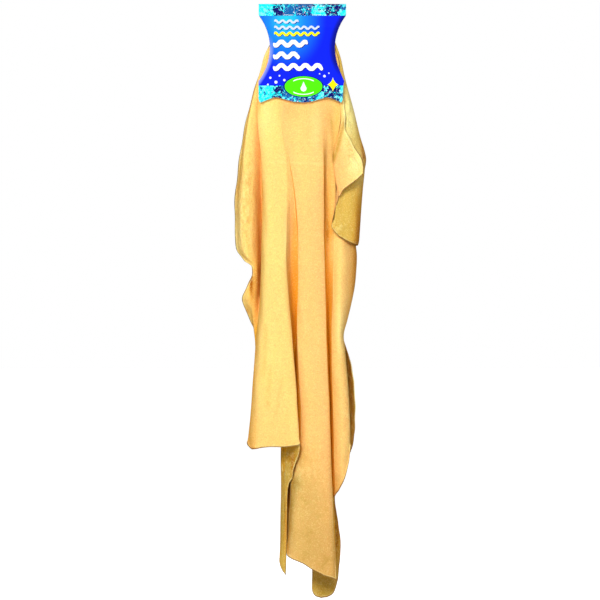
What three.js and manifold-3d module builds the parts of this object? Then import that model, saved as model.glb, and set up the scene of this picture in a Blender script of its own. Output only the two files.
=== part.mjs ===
// A natural chamois skin, gathered at its neck end and stapled inside a folded header card.
//
// Millimetres, +Z up, +X to the viewer's right and the printed face towards -Y. The origin is the
// middle of the card's top fold, where the clip that carries the skin takes hold.

import * as THREE from 'three';
import { mergeVertices } from 'three/addons/utils/BufferGeometryUtils.js';
import Module from 'manifold-3d';

// Driving dimensions

// The skin: its drop from the card's fold to the lowest point of its hem, the greatest width of
// the hanging bundle, and the depth that its folds are drawn to.
const HANG_DROP = 742.5;
const SPREAD_WIDTH = 165;
const FOLD_DEPTH = 135;
const SKIN_THICKNESS = 0.9;

// The gathered neck: its drop below the card's fold, its width, and the step between its layers.
const NECK_DROP = 8;
const GATHER_WIDTH = 62;
const LAYER_PITCH = 1.4;

// How far down the card clamps the neck flat, where the neck has widened to the hanging bundle,
// and how far below the card's grip its folds reach their full depth.
const CLAMP_DROP = 28;
const WIDEN_DROP = 72;
const FREEING_LENGTH = 148;

// The card: an hourglass of board, folded over the neck.
const CARD_WIDTH = 110.5;
const CARD_FOOT_WIDTH = 108;
const CARD_WAIST_WIDTH = 81.2;
const CARD_HEIGHT = 124;
const CARD_HEAD_HEIGHT = 14.4;
const CARD_FOOT_HEIGHT = 27;
const CARD_WAVE = 6.3;
const CARD_CORNER_RADIUS = 5;
const BOARD_THICKNESS = 0.5;
const FOLD_RADIUS = 2.4;
const FRONT_FLARE = 16.6;
const BACK_FLARE = 8.4;

// The staples: flat wire, closed inwards behind the card.
const STAPLE_CROWN = 12.8;
const STAPLE_WIRE_WIDTH = 0.7;
const STAPLE_WIRE_THICKNESS = 0.5;
const STAPLE_CLINCH = 4.2;
const STAPLE_DROP = 14;
const STAPLE_OFFSET = 18;

const CLEARANCE = 0.3;
const OVERRUN = 4;

// Steps in which the card's hollow sides and the bends of its fold are drawn.
const ARC_STEPS = 12;
const BEND_STEPS = 4;

// Shares

// How much of their full depth the folds keep in the card's grip.
const GRIP_SHARE = 0.45;

// The places down the skin, from its neck to its hem, at which the folds are drawn. The flap that
// turns over the right shoulder ends at one of them.
const ROW_SHARES = [
  0, 0.05, 0.12, 0.18, 0.24, 0.3, 0.35, 0.41, 0.47, 0.53, 0.58, 0.61, 0.66, 0.7, 0.76, 0.84, 0.92,
  1,
];
const FLAP_END_SHARE = 0.41;

// The lines that the skin is folded along, from its left cut edge to the right side, where the
// flap begins. gatherShares is a line's place in the neck: a share of the gathered width, and its
// depth in steps between layers. hemShare is how far down it runs, as a share of the drop. Each
// of pointShares is a drop, a place across and a depth, as shares of the drop, the width and the
// fold depth.
const BODY_LINE_SHARES = {
  leftEdge: { gatherShares: [-0.5, 0], hemShare: 0.742, pointShares: [
    [0.1, -0.293, 0.02], [0.178, -0.397, 0], [0.246, -0.459, -0.01], [0.33, -0.502, -0.02],
    [0.395, -0.499, -0.03], [0.415, -0.49, -0.04], [0.426, -0.452, -0.07],
    [0.434, -0.425, -0.09], [0.4385, -0.388, -0.1], [0.448, -0.38, -0.1], [0.458, -0.384, -0.09],
    [0.468, -0.405, -0.07], [0.481, -0.426, -0.04], [0.495, -0.447, 0], [0.508, -0.435, 0.02],
    [0.529, -0.397, 0.04], [0.55, -0.345, 0.075], [0.57, -0.315, 0.085], [0.667, -0.29, 0.02],
    [0.75, -0.32, -0.04],
  ] },
  leftCrest: { gatherShares: [-0.44, 0], hemShare: 0.744, pointShares: [
    [0.1, -0.298, -0.02], [0.178, -0.388, -0.09], [0.246, -0.43, -0.13], [0.33, -0.45, -0.16],
    [0.395, -0.452, -0.165], [0.415, -0.44, -0.165], [0.428, -0.41, -0.15],
    [0.4385, -0.36, -0.12], [0.448, -0.35, -0.11], [0.46, -0.35, -0.095], [0.483, -0.395, -0.07],
    [0.498, -0.408, -0.06], [0.52, -0.39, -0.005], [0.55, -0.363, 0.025], [0.57, -0.35, 0.03],
    [0.667, -0.34, -0.04], [0.75, -0.36, -0.08],
  ] },
  leftLip: { gatherShares: [-0.37, 0], hemShare: 0.745, pointShares: [
    [0.1, -0.282, -0.04], [0.178, -0.358, -0.07], [0.246, -0.372, -0.1], [0.33, -0.375, -0.12],
    [0.4, -0.38, -0.13], [0.425, -0.365, -0.12], [0.4385, -0.343, -0.1], [0.46, -0.34, -0.08],
    [0.498, -0.365, -0.06], [0.52, -0.374, -0.045], [0.545, -0.365, -0.035],
    [0.57, -0.356, -0.035], [0.667, -0.365, -0.09], [0.75, -0.395, -0.12],
  ] },
  leftValley: { gatherShares: [-0.3, 0], hemShare: 0.742, pointShares: [
    [0.1, -0.263, -0.05], [0.178, -0.325, -0.035], [0.246, -0.315, -0.02], [0.33, -0.307, 0.01],
    [0.4, -0.3, 0.03], [0.456, -0.3, 0.03], [0.498, -0.316, 0], [0.52, -0.33, -0.03],
    [0.545, -0.338, -0.06], [0.57, -0.335, -0.072], [0.667, -0.378, -0.14], [0.75, -0.408, -0.16],
  ] },
  firstFoldLeft: { gatherShares: [-0.2, 0], hemShare: 0.7357, pointShares: [
    [0.1, -0.24, -0.08], [0.167, -0.336, -0.12], [0.258, -0.312, -0.18], [0.32, -0.297, -0.21],
    [0.431, -0.312, -0.22], [0.498, -0.322, -0.21], [0.556, -0.342, -0.2],
    [0.633, -0.367, -0.21], [0.682, -0.382, -0.21], [0.74, -0.41, -0.21],
  ] },
  firstFoldCrest: { gatherShares: [-0.13, 0], hemShare: 0.748, pointShares: [
    [0.1, -0.2, -0.12], [0.167, -0.285, -0.17], [0.258, -0.262, -0.25], [0.33, -0.255, -0.29],
    [0.431, -0.27, -0.31], [0.498, -0.282, -0.31], [0.6, -0.31, -0.31], [0.7, -0.345, -0.3],
    [0.755, -0.366, -0.29],
  ] },
  firstFoldFace: { gatherShares: [-0.06, 0], hemShare: 0.7415, pointShares: [
    [0.1, -0.16, -0.12], [0.167, -0.19, -0.17], [0.258, -0.18, -0.25], [0.33, -0.16, -0.3],
    [0.4, -0.165, -0.32], [0.431, -0.155, -0.325], [0.498, -0.13, -0.33], [0.6, -0.085, -0.33],
    [0.7, -0.05, -0.32], [0.745, -0.038, -0.31],
  ] },
  firstFoldRight: { gatherShares: [0, 0], hemShare: 0.739, pointShares: [
    [0.1, -0.14, -0.12], [0.167, -0.18, -0.165], [0.212, -0.165, -0.2], [0.258, -0.128, -0.245],
    [0.33, -0.117, -0.285], [0.39, -0.122, -0.3], [0.431, -0.127, -0.305],
    [0.498, -0.107, -0.31], [0.55, -0.084, -0.31], [0.633, -0.053, -0.31], [0.7, -0.035, -0.305],
    [0.745, -0.022, -0.3],
  ] },
  middleValleyLeft: { gatherShares: [0.06, 0], hemShare: 0.941, pointShares: [
    [0.1, -0.11, -0.12], [0.167, -0.15, -0.16], [0.212, -0.155, -0.198], [0.258, -0.112, -0.235],
    [0.33, -0.088, -0.26], [0.39, -0.085, -0.225], [0.431, -0.087, -0.2], [0.498, -0.076, -0.19],
    [0.55, -0.068, -0.165], [0.633, -0.11, -0.08], [0.7, -0.15, -0.03], [0.75, -0.158, -0.06],
    [0.85, -0.162, -0.1], [0.92, -0.165, -0.11], [0.94, -0.176, -0.11], [0.96, -0.16, -0.11],
  ] },
  middleValleyRight: { gatherShares: [0.12, 0], hemShare: 0.9, pointShares: [
    [0.1, -0.09, -0.12], [0.167, -0.13, -0.158], [0.212, -0.15, -0.198], [0.258, -0.103, -0.232],
    [0.33, -0.055, -0.24], [0.39, -0.035, -0.2], [0.431, -0.025, -0.165], [0.498, -0.03, -0.14],
    [0.55, -0.041, -0.115], [0.633, -0.085, -0.05], [0.7, -0.128, 0.01], [0.75, -0.12, 0.03],
    [0.8, -0.105, 0.05], [0.85, -0.105, 0.055], [0.92, -0.118, 0.05], [0.94, -0.126, 0.045],
    [0.96, -0.13, 0.04],
  ] },
  secondFoldLeft: { gatherShares: [0.18, 0], hemShare: 0.91, pointShares: [
    [0.1, -0.06, -0.12], [0.167, -0.11, -0.16], [0.212, -0.14, -0.2], [0.258, -0.098, -0.24],
    [0.313, -0.058, -0.275], [0.355, -0.036, -0.285], [0.4, -0.028, -0.285],
    [0.48, -0.03, -0.285], [0.55, -0.036, -0.28], [0.633, -0.02, -0.265],
    [0.683, -0.003, -0.245], [0.736, -0.01, -0.21], [0.768, -0.042, -0.18],
    [0.785, -0.062, -0.165], [0.8014, -0.084, -0.15], [0.835, -0.093, -0.135],
    [0.87, -0.105, -0.12], [0.916, -0.118, -0.11], [0.935, -0.122, -0.11],
  ] },
  secondFoldCrest: { gatherShares: [0.26, 0], hemShare: 0.93, pointShares: [
    [0.1, -0.01, -0.13], [0.167, -0.02, -0.165], [0.212, -0.04, -0.2], [0.246, -0.025, -0.235],
    [0.313, 0, -0.285], [0.355, 0.015, -0.3], [0.48, 0.02, -0.31], [0.55, 0.02, -0.31],
    [0.633, 0.03, -0.3], [0.683, 0.04, -0.285], [0.736, 0.03, -0.26], [0.785, -0.02, -0.235],
    [0.835, -0.05, -0.21], [0.87, -0.065, -0.2], [0.905, -0.083, -0.19], [0.935, -0.09, -0.185],
  ] },
  secondFoldFace: { gatherShares: [0.32, 0], hemShare: 0.963, pointShares: [
    [0.1, 0.06, -0.13], [0.167, 0.075, -0.19], [0.246, 0.1, -0.27], [0.313, 0.118, -0.31],
    [0.4, 0.123, -0.32], [0.48, 0.137, -0.32], [0.55, 0.145, -0.32], [0.633, 0.158, -0.31],
    [0.736, 0.182, -0.3], [0.8, 0.195, -0.29], [0.87, 0.2, -0.28], [0.965, 0.217, -0.26],
  ] },
  secondFoldRight: { gatherShares: [0.38, 0], hemShare: 0.966, pointShares: [
    [0.1, 0.11, -0.12], [0.167, 0.141, -0.17], [0.212, 0.147, -0.215], [0.246, 0.15, -0.25],
    [0.313, 0.155, -0.29], [0.4, 0.16, -0.305], [0.48, 0.168, -0.305], [0.55, 0.176, -0.305],
    [0.633, 0.188, -0.295], [0.736, 0.207, -0.28], [0.8, 0.219, -0.265], [0.87, 0.233, -0.245],
    [0.97, 0.25, -0.22],
  ] },
  rightValley: { gatherShares: [0.42, 0], hemShare: 0.84, pointShares: [
    [0.1, 0.15, -0.1], [0.167, 0.19, -0.135], [0.212, 0.195, -0.16], [0.246, 0.185, -0.175],
    [0.313, 0.175, -0.17], [0.4, 0.178, -0.14], [0.48, 0.19, -0.115], [0.55, 0.195, -0.11],
    [0.633, 0.205, -0.125], [0.7, 0.214, -0.14], [0.77, 0.224, -0.16], [0.84, 0.24, -0.155],
  ] },
  thirdFoldLeft: { gatherShares: [0.45, 0], hemShare: 0.826, pointShares: [
    [0.1, 0.18, -0.08], [0.167, 0.235, -0.1], [0.212, 0.245, -0.13], [0.246, 0.245, -0.14],
    [0.33, 0.245, -0.165], [0.41, 0.24, -0.2], [0.48, 0.235, -0.225], [0.55, 0.228, -0.23],
    [0.633, 0.228, -0.22], [0.736, 0.24, -0.2], [0.8, 0.248, -0.18], [0.83, 0.253, -0.17],
  ] },
  thirdFoldCrest: { gatherShares: [0.48, 0], hemShare: 0.806, pointShares: [
    [0.1, 0.22, -0.06], [0.167, 0.29, -0.095], [0.212, 0.31, -0.115], [0.246, 0.32, -0.12],
    [0.33, 0.32, -0.16], [0.38, 0.305, -0.19], [0.41, 0.295, -0.235], [0.48, 0.285, -0.28],
    [0.55, 0.277, -0.29], [0.633, 0.283, -0.28], [0.736, 0.297, -0.26], [0.81, 0.3, -0.23],
  ] },
  thirdFoldRight: { gatherShares: [0.5, 0.5], hemShare: 0.745, pointShares: [
    [0.1, 0.25, -0.03], [0.167, 0.33, -0.01], [0.246, 0.37, 0], [0.33, 0.375, -0.01],
    [0.385, 0.38, -0.04], [0.405, 0.398, -0.06], [0.424, 0.407, -0.08], [0.45, 0.4, -0.1],
    [0.48, 0.387, -0.1], [0.507, 0.364, -0.1], [0.532, 0.337, -0.1], [0.557, 0.309, -0.1],
    [0.583, 0.319, -0.1], [0.633, 0.338, -0.1], [0.7, 0.361, -0.1], [0.76, 0.365, -0.1],
  ] },
  innerRight: { gatherShares: [0.42, 1], hemShare: 0.74, pointShares: [
    [0.1, 0.22, 0.01], [0.167, 0.3, 0.04], [0.246, 0.34, 0.08], [0.33, 0.345, 0.1],
    [0.41, 0.35, 0.1], [0.48, 0.335, 0.11], [0.55, 0.27, 0.1], [0.633, 0.3, 0.08],
    [0.76, 0.32, 0.06],
  ] },
  innerMiddle: { gatherShares: [0.05, 1], hemShare: 0.74, pointShares: [
    [0.1, 0.1, 0], [0.167, 0.08, 0.02], [0.246, 0.08, 0.06], [0.33, 0.08, 0.1],
    [0.48, 0.08, 0.13], [0.633, 0.09, 0.13], [0.76, 0.1, 0.11],
  ] },
  innerFold: { gatherShares: [-0.5, 1.5], hemShare: 0.715, pointShares: [
    [0.1, -0.22, 0.03], [0.167, -0.29, 0.06], [0.246, -0.3, 0.1], [0.33, -0.3, 0.14],
    [0.48, -0.28, 0.17], [0.633, -0.29, 0.16], [0.72, -0.31, 0.14],
  ] },
  backLeft: { gatherShares: [-0.35, 2], hemShare: 0.715, pointShares: [
    [0.1, -0.15, 0.08], [0.167, -0.22, 0.15], [0.246, -0.24, 0.22], [0.33, -0.23, 0.29],
    [0.48, -0.2, 0.32], [0.633, -0.2, 0.29], [0.74, -0.2, 0.24],
  ] },
  backMiddle: { gatherShares: [0, 2], hemShare: 0.915, pointShares: [
    [0.1, 0, 0.07], [0.167, 0, 0.11], [0.246, -0.01, 0.16], [0.33, 0, 0.21], [0.48, 0, 0.24],
    [0.633, 0, 0.22], [0.8, 0.01, 0.15], [0.93, 0, 0.08],
  ] },
  backRight: { gatherShares: [0.3, 2], hemShare: 0.984, pointShares: [
    [0.1, 0.16, 0.08], [0.167, 0.2, 0.15], [0.246, 0.24, 0.22], [0.33, 0.26, 0.28],
    [0.48, 0.2, 0.3], [0.633, 0.2, 0.26], [0.8, 0.12, 0.17], [0.95, 0.09, 0.06],
    [0.968, 0.088, 0.045], [0.985, 0.07, 0.03], [0.998, 0.066, 0.02],
  ] },
  tongue: { gatherShares: [0.47, 1.7], hemShare: 0.9997, pointShares: [
    [0.1, 0.25, 0.06], [0.167, 0.31, 0.11], [0.246, 0.39, 0.15], [0.33, 0.38, 0.19],
    [0.48, 0.29, 0.26], [0.56, 0.27, 0.22], [0.633, 0.31, 0.19], [0.7, 0.32, 0.17],
    [0.8, 0.22, 0.15], [0.9, 0.19, 0.09], [0.96, 0.165, 0.02], [1, 0.15, -0.01],
  ] },
  rightSide: { gatherShares: [0.56, 0.5], hemShare: 0.968, pointShares: [
    [0.094, 0.288, 0.01], [0.128, 0.323, 0.02], [0.178, 0.385, 0.03], [0.22, 0.432, 0.02],
    [0.258, 0.48, 0.01], [0.28, 0.47, 0], [0.33, 0.448, 0], [0.384, 0.425, 0.02],
    [0.407, 0.413, 0.04], [0.45, 0.36, 0.14], [0.5, 0.3, 0.17], [0.54, 0.29, 0.14],
    [0.557, 0.305, 0.1], [0.6, 0.367, 0.06], [0.64, 0.397, 0.04], [0.684, 0.405, 0.04],
    [0.734, 0.392, 0.05], [0.768, 0.345, 0.07], [0.8, 0.28, 0.09], [0.83, 0.248, 0.08],
    [0.862, 0.266, 0.05], [0.912, 0.292, 0.01], [0.956, 0.275, -0.03], [0.98, 0.262, -0.06],
  ] },
};

// The flap that turns forward over the right shoulder, and then back out to the right.
const FLAP_LINE_SHARES = {
  shoulder: { gatherShares: [0.52, -1], hemShare: 0.4044, pointShares: [
    [0.094, 0.29, -0.04], [0.128, 0.315, -0.05], [0.178, 0.365, -0.07], [0.22, 0.4, -0.095],
    [0.258, 0.43, -0.13], [0.33, 0.413, -0.19], [0.4, 0.39, -0.23],
  ] },
  turn: { gatherShares: [0.24, -1.5], hemShare: 0.327, pointShares: [
    [0.094, 0.25, -0.1], [0.128, 0.268, -0.115], [0.167, 0.285, -0.13], [0.19, 0.292, -0.138],
    [0.207, 0.288, -0.148], [0.228, 0.262, -0.165], [0.25, 0.236, -0.19], [0.29, 0.243, -0.225],
    [0.315, 0.262, -0.245], [0.327, 0.272, -0.255], [0.35, 0.243, -0.27], [0.38, 0.205, -0.28],
  ] },
  face: { gatherShares: [0.36, -2], hemShare: 0.3064, pointShares: [
    [0.094, 0.262, -0.12], [0.128, 0.28, -0.135], [0.167, 0.3, -0.155], [0.19, 0.304, -0.165],
    [0.207, 0.298, -0.178], [0.228, 0.298, -0.2], [0.246, 0.32, -0.235], [0.28, 0.355, -0.29],
    [0.31, 0.355, -0.31],
  ] },
  rightEdge: { gatherShares: [0.46, -2], hemShare: 0.288, pointShares: [
    [0.094, 0.27, -0.11], [0.128, 0.288, -0.125], [0.167, 0.31, -0.15], [0.189, 0.322, -0.165],
    [0.212, 0.322, -0.18], [0.229, 0.36, -0.2], [0.239, 0.384, -0.215], [0.249, 0.414, -0.235],
    [0.2626, 0.4515, -0.255], [0.273, 0.462, -0.265], [0.286, 0.459, -0.275],
    [0.296, 0.45, -0.285],
  ] },
};

// The card's wavy foot: places across and up from its lowest point, as shares of half the foot's
// width and of the wave.
const FOOT_WAVE_SHARES = [[0.94, 0], [0.8, 0.5], [0.61, 1], [0.4, 0.62], [0.2, 0.15], [0, 0]];

const COLOURS = { skin: 0xfad77f, card: 0x1d7fe0, wire: 0xc8ccd0 };

// The skin

// The neck's layers open inside the card as far as the foot that still grips them.
const openDrop = CARD_HEIGHT - CARD_FOOT_HEIGHT;

// The slope of a line at one of its points: that of the chord between its neighbours.
function slopeAt(points, index, column) {
  const before = points[Math.max(index - 1, 0)];
  const after = points[Math.min(index + 1, points.length - 1)];
  return (after[column] - before[column]) / (after[0] - before[0]);
}

// A smooth curve through a line's points at a drop; past either end it runs on straight.
function smoothAt(points, drop, column) {
  const last = points.length - 1;
  if (drop <= points[0][0]) {
    return points[0][column] + (drop - points[0][0]) * slopeAt(points, 0, column);
  }
  if (drop >= points[last][0]) {
    return points[last][column] + (drop - points[last][0]) * slopeAt(points, last, column);
  }
  const index = points.findIndex((point) => point[0] > drop) - 1;
  const [here, next] = [points[index], points[index + 1]];
  const span = next[0] - here[0];
  const t = (drop - here[0]) / span;
  return (1 + 2 * t) * (1 - t) ** 2 * here[column]
    + t * (1 - t) ** 2 * span * slopeAt(points, index, column)
    + t * t * (3 - 2 * t) * next[column]
    + t * t * (t - 1) * span * slopeAt(points, index + 1, column);
}

// The point of a fold line at a drop share: gathered flat in the neck, pressed by the card just
// below it, and free further down.
function linePoint(line, drop) {
  const depth = drop * HANG_DROP;
  const widened = THREE.MathUtils.smoothstep(depth, NECK_DROP, WIDEN_DROP);
  const opened = THREE.MathUtils.smoothstep(depth, CLAMP_DROP, openDrop);
  const freed = THREE.MathUtils.smoothstep(depth, openDrop, openDrop + FREEING_LENGTH);
  const press = THREE.MathUtils.lerp(GRIP_SHARE, 1, freed);
  const [acrossShare, layer] = line.gatherShares;
  const across = smoothAt(line.pointShares, drop, 1) * SPREAD_WIDTH;
  const out = smoothAt(line.pointShares, drop, 2) * FOLD_DEPTH * press;
  return new THREE.Vector3(
    THREE.MathUtils.lerp(acrossShare * GATHER_WIDTH, across, widened),
    THREE.MathUtils.lerp(layer * LAYER_PITCH, out, opened),
    -depth,
  );
}

// One column of points down a line, from the neck to an end share, at row shares that run to 1.
function column(line, rows, endShare) {
  const neck = NECK_DROP / HANG_DROP;
  return rows.map((row) => linePoint(line, neck + (endShare - neck) * row));
}

// The middle surface of the skin, as shared points and four-sided faces. The flap grows out of
// the right side's column, whose upper rows it shares.
function skinSurface() {
  const body = Object.values(BODY_LINE_SHARES);
  const flap = Object.values(FLAP_LINE_SHARES);
  const flapRows = ROW_SHARES.filter((row) => row <= FLAP_END_SHARE);
  const points = [];
  const faces = [];
  const addColumn = (line, rows) => column(line, rows, line.hemShare)
    .map((point) => points.push(point) - 1);
  const join = (left, right) => {
    for (let row = 1; row < right.length; row += 1) {
      faces.push([left[row - 1], left[row], right[row], right[row - 1]]);
    }
  };
  let previous = addColumn(body[0], ROW_SHARES);
  for (const line of body.slice(1)) {
    const next = addColumn(line, ROW_SHARES);
    join(previous, next);
    previous = next;
  }
  const stretched = flapRows.map((row) => row / FLAP_END_SHARE);
  for (const line of flap) {
    const next = addColumn(line, stretched);
    join(previous, next);
    previous = next;
  }
  return { points, faces };
}

// The normals of a surface's points. Each face counts alike, so that the normal at a sharp fold
// halves the angle between its two sides.
function pointNormals(points, faces) {
  const normals = points.map(() => new THREE.Vector3());
  for (const face of faces) {
    const [a, b, c, d] = face.map((index) => points[index]);
    const normal = c.clone().sub(a).cross(d.clone().sub(b)).normalize();
    face.forEach((index) => normals[index].add(normal));
  }
  return normals.map((normal) => normal.normalize());
}

// The edges that only one face uses, each turned as that face runs along it.
function openEdges(faces) {
  const edges = new Map();
  for (const face of faces) {
    face.forEach((from, corner) => {
      const to = face[(corner + 1) % face.length];
      if (!edges.delete(`${to} ${from}`)) {
        edges.set(`${from} ${to}`, [from, to]);
      }
    });
  }
  return [...edges.values()];
}

// A four-sided face as two triangles, parted along its shorter diagonal.
function split([a, b, c, d], points) {
  const shorter = points[a].distanceTo(points[c]) < points[b].distanceTo(points[d]);
  return shorter ? [[a, b, c], [a, c, d]] : [[a, b, d], [b, c, d]];
}

// A closed solid of even thickness about a surface: both sides, and a rim along the open edges.
function thicken({ points, faces }, thickness) {
  const normals = pointNormals(points, faces);
  const count = points.length;
  const sides = [thickness / 2, -thickness / 2];
  const positions = sides.flatMap((offset) => points.flatMap(
    (point, index) => point.clone().addScaledVector(normals[index], offset).toArray(),
  ));
  const triangles = faces.flatMap((face) => split(face, points));
  const outer = triangles.flat();
  const inner = triangles.flatMap(([a, b, c]) => [a + count, c + count, b + count]);
  const rim = openEdges(faces).flatMap(
    ([from, to]) => [to, from, from + count, to, from + count, to + count],
  );
  const geometry = new THREE.BufferGeometry();
  geometry.setAttribute('position', new THREE.Float32BufferAttribute(positions, 3));
  geometry.setIndex([...outer, ...inner, ...rim]);
  return geometry;
}

// The card

// Half the distance between the card's two panels where the staples clamp them.
const deepestLayer = Math.max(
  ...[...Object.values(BODY_LINE_SHARES), ...Object.values(FLAP_LINE_SHARES)]
    .map((line) => Math.abs(line.gatherShares[1])),
);
const clampGap = deepestLayer * LAYER_PITCH + SKIN_THICKNESS / 2 + CLEARANCE;

// The card's hourglass outline in X and Z: a square head, sides hollowed by one arc each, an
// upright foot and a wavy lower edge. The head runs on above the fold, to be cut by it.
function cardOutline() {
  const [head, waist, foot] = [CARD_WIDTH / 2, CARD_WAIST_WIDTH / 2, CARD_FOOT_WIDTH / 2];
  const top = -CARD_HEAD_HEIGHT;
  const bottom = -CARD_HEIGHT + CARD_FOOT_HEIGHT;
  const middle = (top + bottom) / 2;
  const side = [[head, top], [waist, middle], [foot, bottom]];
  const arc = arcThrough(...side.map(([x, y]) => new THREE.Vector2(x, y)));
  const wave = FOOT_WAVE_SHARES.map(
    ([across, up]) => new THREE.Vector2(across * foot, -CARD_HEIGHT + up * CARD_WAVE),
  );
  const half = [
    new THREE.Vector2(head, OVERRUN),
    ...arc,
    new THREE.Vector2(foot, -CARD_HEIGHT + CARD_CORNER_RADIUS),
    ...new THREE.SplineCurve(wave).getPoints(2 * wave.length),
  ];
  const mirrored = half.slice(0, -1).reverse().map((point) => new THREE.Vector2(-point.x, point.y));
  return new THREE.Shape([...half, ...mirrored].reverse());
}

// Points of the circle's arc through three points.
function arcThrough(start, through, end) {
  const chordMiddle = start.clone().add(end).divideScalar(2);
  const sagitta = through.distanceTo(chordMiddle);
  const halfChord = start.distanceTo(end) / 2;
  const radius = (halfChord ** 2 + sagitta ** 2) / (2 * sagitta);
  const inward = through.clone().sub(chordMiddle).normalize();
  const centre = chordMiddle.clone().addScaledVector(inward, sagitta - radius);
  const from = start.clone().sub(centre).angle();
  const to = end.clone().sub(centre).angle();
  const sweep = THREE.MathUtils.euclideanModulo(to - from + Math.PI, 2 * Math.PI) - Math.PI;
  return Array.from({ length: ARC_STEPS + 1 }, (_, step) => {
    const angle = from + sweep * step / ARC_STEPS;
    return new THREE.Vector2(Math.cos(angle), Math.sin(angle)).multiplyScalar(radius).add(centre);
  });
}

// One side of the board as seen along X, in Y and Z: up the front panel, over the fold and down
// the back panel. inset draws it in from the card's outer face.
function boardLine(inset) {
  const half = clampGap + BOARD_THICKNESS - inset;
  const low = -CARD_HEIGHT - OVERRUN;
  const radius = FOLD_RADIUS - inset;
  const path = new THREE.Path();
  path.moveTo(-half - FRONT_FLARE, low);
  path.lineTo(-half, -CLAMP_DROP);
  path.lineTo(-half, -radius - inset);
  path.absarc(-half + radius, -radius - inset, radius, Math.PI, Math.PI / 2, true);
  path.absarc(half - radius, -radius - inset, radius, Math.PI / 2, 0, true);
  path.lineTo(half, -CLAMP_DROP);
  path.lineTo(half + BACK_FLARE, low);
  return path.getPoints(BEND_STEPS);
}

// The board bent over the neck, as wide as the card.
function boardStrip() {
  const profile = new THREE.Shape([...boardLine(0), ...boardLine(BOARD_THICKNESS).reverse()]);
  const width = CARD_WIDTH + 2 * OVERRUN;
  const strip = new THREE.ExtrudeGeometry(profile, { depth: width, bevelEnabled: false });
  strip.translate(0, 0, -width / 2);
  strip.applyMatrix4(new THREE.Matrix4().makeBasis(
    new THREE.Vector3(0, 1, 0), new THREE.Vector3(0, 0, 1), new THREE.Vector3(1, 0, 0),
  ));
  return strip;
}

// The hourglass outline drawn out along Y, past both panels.
function outlinePrism() {
  const reach = clampGap + Math.max(FRONT_FLARE, BACK_FLARE) + OVERRUN;
  const prism = new THREE.ExtrudeGeometry(cardOutline(), { depth: 2 * reach, bevelEnabled: false });
  prism.translate(0, 0, -reach);
  prism.rotateX(Math.PI / 2);
  return prism;
}

// The staples

const frontFace = clampGap + BOARD_THICKNESS;
const legSpacing = STAPLE_CROWN - STAPLE_WIRE_THICKNESS;

// A staple seen from above, in X and Y: its crown in front, two legs, and their ends closed
// towards each other behind.
function stapleGeometry() {
  const outer = STAPLE_CROWN / 2;
  const inner = outer - STAPLE_WIRE_THICKNESS;
  const face = frontFace + CLEARANCE;
  const reach = face + STAPLE_WIRE_THICKNESS;
  const end = inner - STAPLE_CLINCH;
  const right = [[end, reach], [outer, reach], [outer, -reach]];
  const left = [[-outer, -reach], [-outer, reach], [-end, reach], [-end, face], [-inner, face]];
  const inside = [[-inner, -face], [inner, -face], [inner, face], [end, face]];
  const shape = new THREE.Shape(
    [...right, ...left, ...inside].map(([x, y]) => new THREE.Vector2(x, y)),
  );
  const wire = { depth: STAPLE_WIRE_WIDTH, bevelEnabled: false };
  return new THREE.ExtrudeGeometry(shape, wire).translate(0, 0, -STAPLE_WIRE_WIDTH / 2);
}

// The four holes that the staples' legs go through.
function legHoles() {
  const width = STAPLE_WIRE_THICKNESS + 2 * CLEARANCE;
  const height = STAPLE_WIRE_WIDTH + 2 * CLEARANCE;
  const length = 2 * (frontFace + OVERRUN);
  return [-STAPLE_OFFSET, STAPLE_OFFSET].flatMap(
    (centre) => [-legSpacing / 2, legSpacing / 2].map(
      (leg) => new THREE.BoxGeometry(width, length, height)
        .translate(centre + leg, 0, -STAPLE_DROP),
    ),
  );
}

// Cutting and joining

const wasm = await Module();
wasm.setup();

function toSolid(geometry) {
  const plain = geometry.index ? geometry.toNonIndexed() : geometry.clone();
  plain.deleteAttribute('normal');
  plain.deleteAttribute('uv');
  const merged = mergeVertices(plain);
  return new wasm.Manifold(new wasm.Mesh({
    numProp: 3,
    vertProperties: new Float32Array(merged.attributes.position.array),
    triVerts: new Uint32Array(merged.index.array),
  }));
}

function toGeometry(solid) {
  const mesh = solid.getMesh();
  const geometry = new THREE.BufferGeometry();
  geometry.setAttribute('position', new THREE.BufferAttribute(mesh.vertProperties, 3));
  geometry.setIndex(new THREE.BufferAttribute(mesh.triVerts, 1));
  geometry.computeVertexNormals();
  return geometry;
}

function pierced(solid) {
  return legHoles().reduce((left, hole) => left.subtract(toSolid(hole)), solid);
}

// The assembly

function piece(name, geometry, colour, roughness, metalness) {
  const material = new THREE.MeshStandardMaterial({ color: colour, roughness, metalness });
  const mesh = new THREE.Mesh(geometry, material);
  mesh.name = name;
  return mesh;
}

const skin = thicken(skinSurface(), SKIN_THICKNESS);
const board = toSolid(boardStrip()).intersect(toSolid(outlinePrism()));

const product = new THREE.Group();
product.add(piece('chamois_skin', toGeometry(pierced(toSolid(skin))), COLOURS.skin, 0.9, 0));
product.add(piece('header_card', toGeometry(pierced(board)), COLOURS.card, 0.35, 0));
for (const [name, side] of [['staple_left', -1], ['staple_right', 1]]) {
  const staple = piece(name, stapleGeometry(), COLOURS.wire, 0.3, 1);
  staple.position.set(side * STAPLE_OFFSET, 0, -STAPLE_DROP);
  product.add(staple);
}

export default product;
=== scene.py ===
# %% [markdown]
# # A chamois skin on its header card
#
# A chamois leather is one soft, oil-tanned skin. It is sold gathered at its neck end: a printed
# card is folded over the gather and stapled through it, and the skin hangs below in deep folds.
# Only the card has hard edges, so the look rests on the course of the folds, on the cut edges
# and on a surface that is all nap and no shine.
#
# The packed CAD model is the frame. It fixes where everything is, and this script puts a finer
# surface over each of its pieces, in metres and in the same place.

# %% Load the frame
import math

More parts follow.
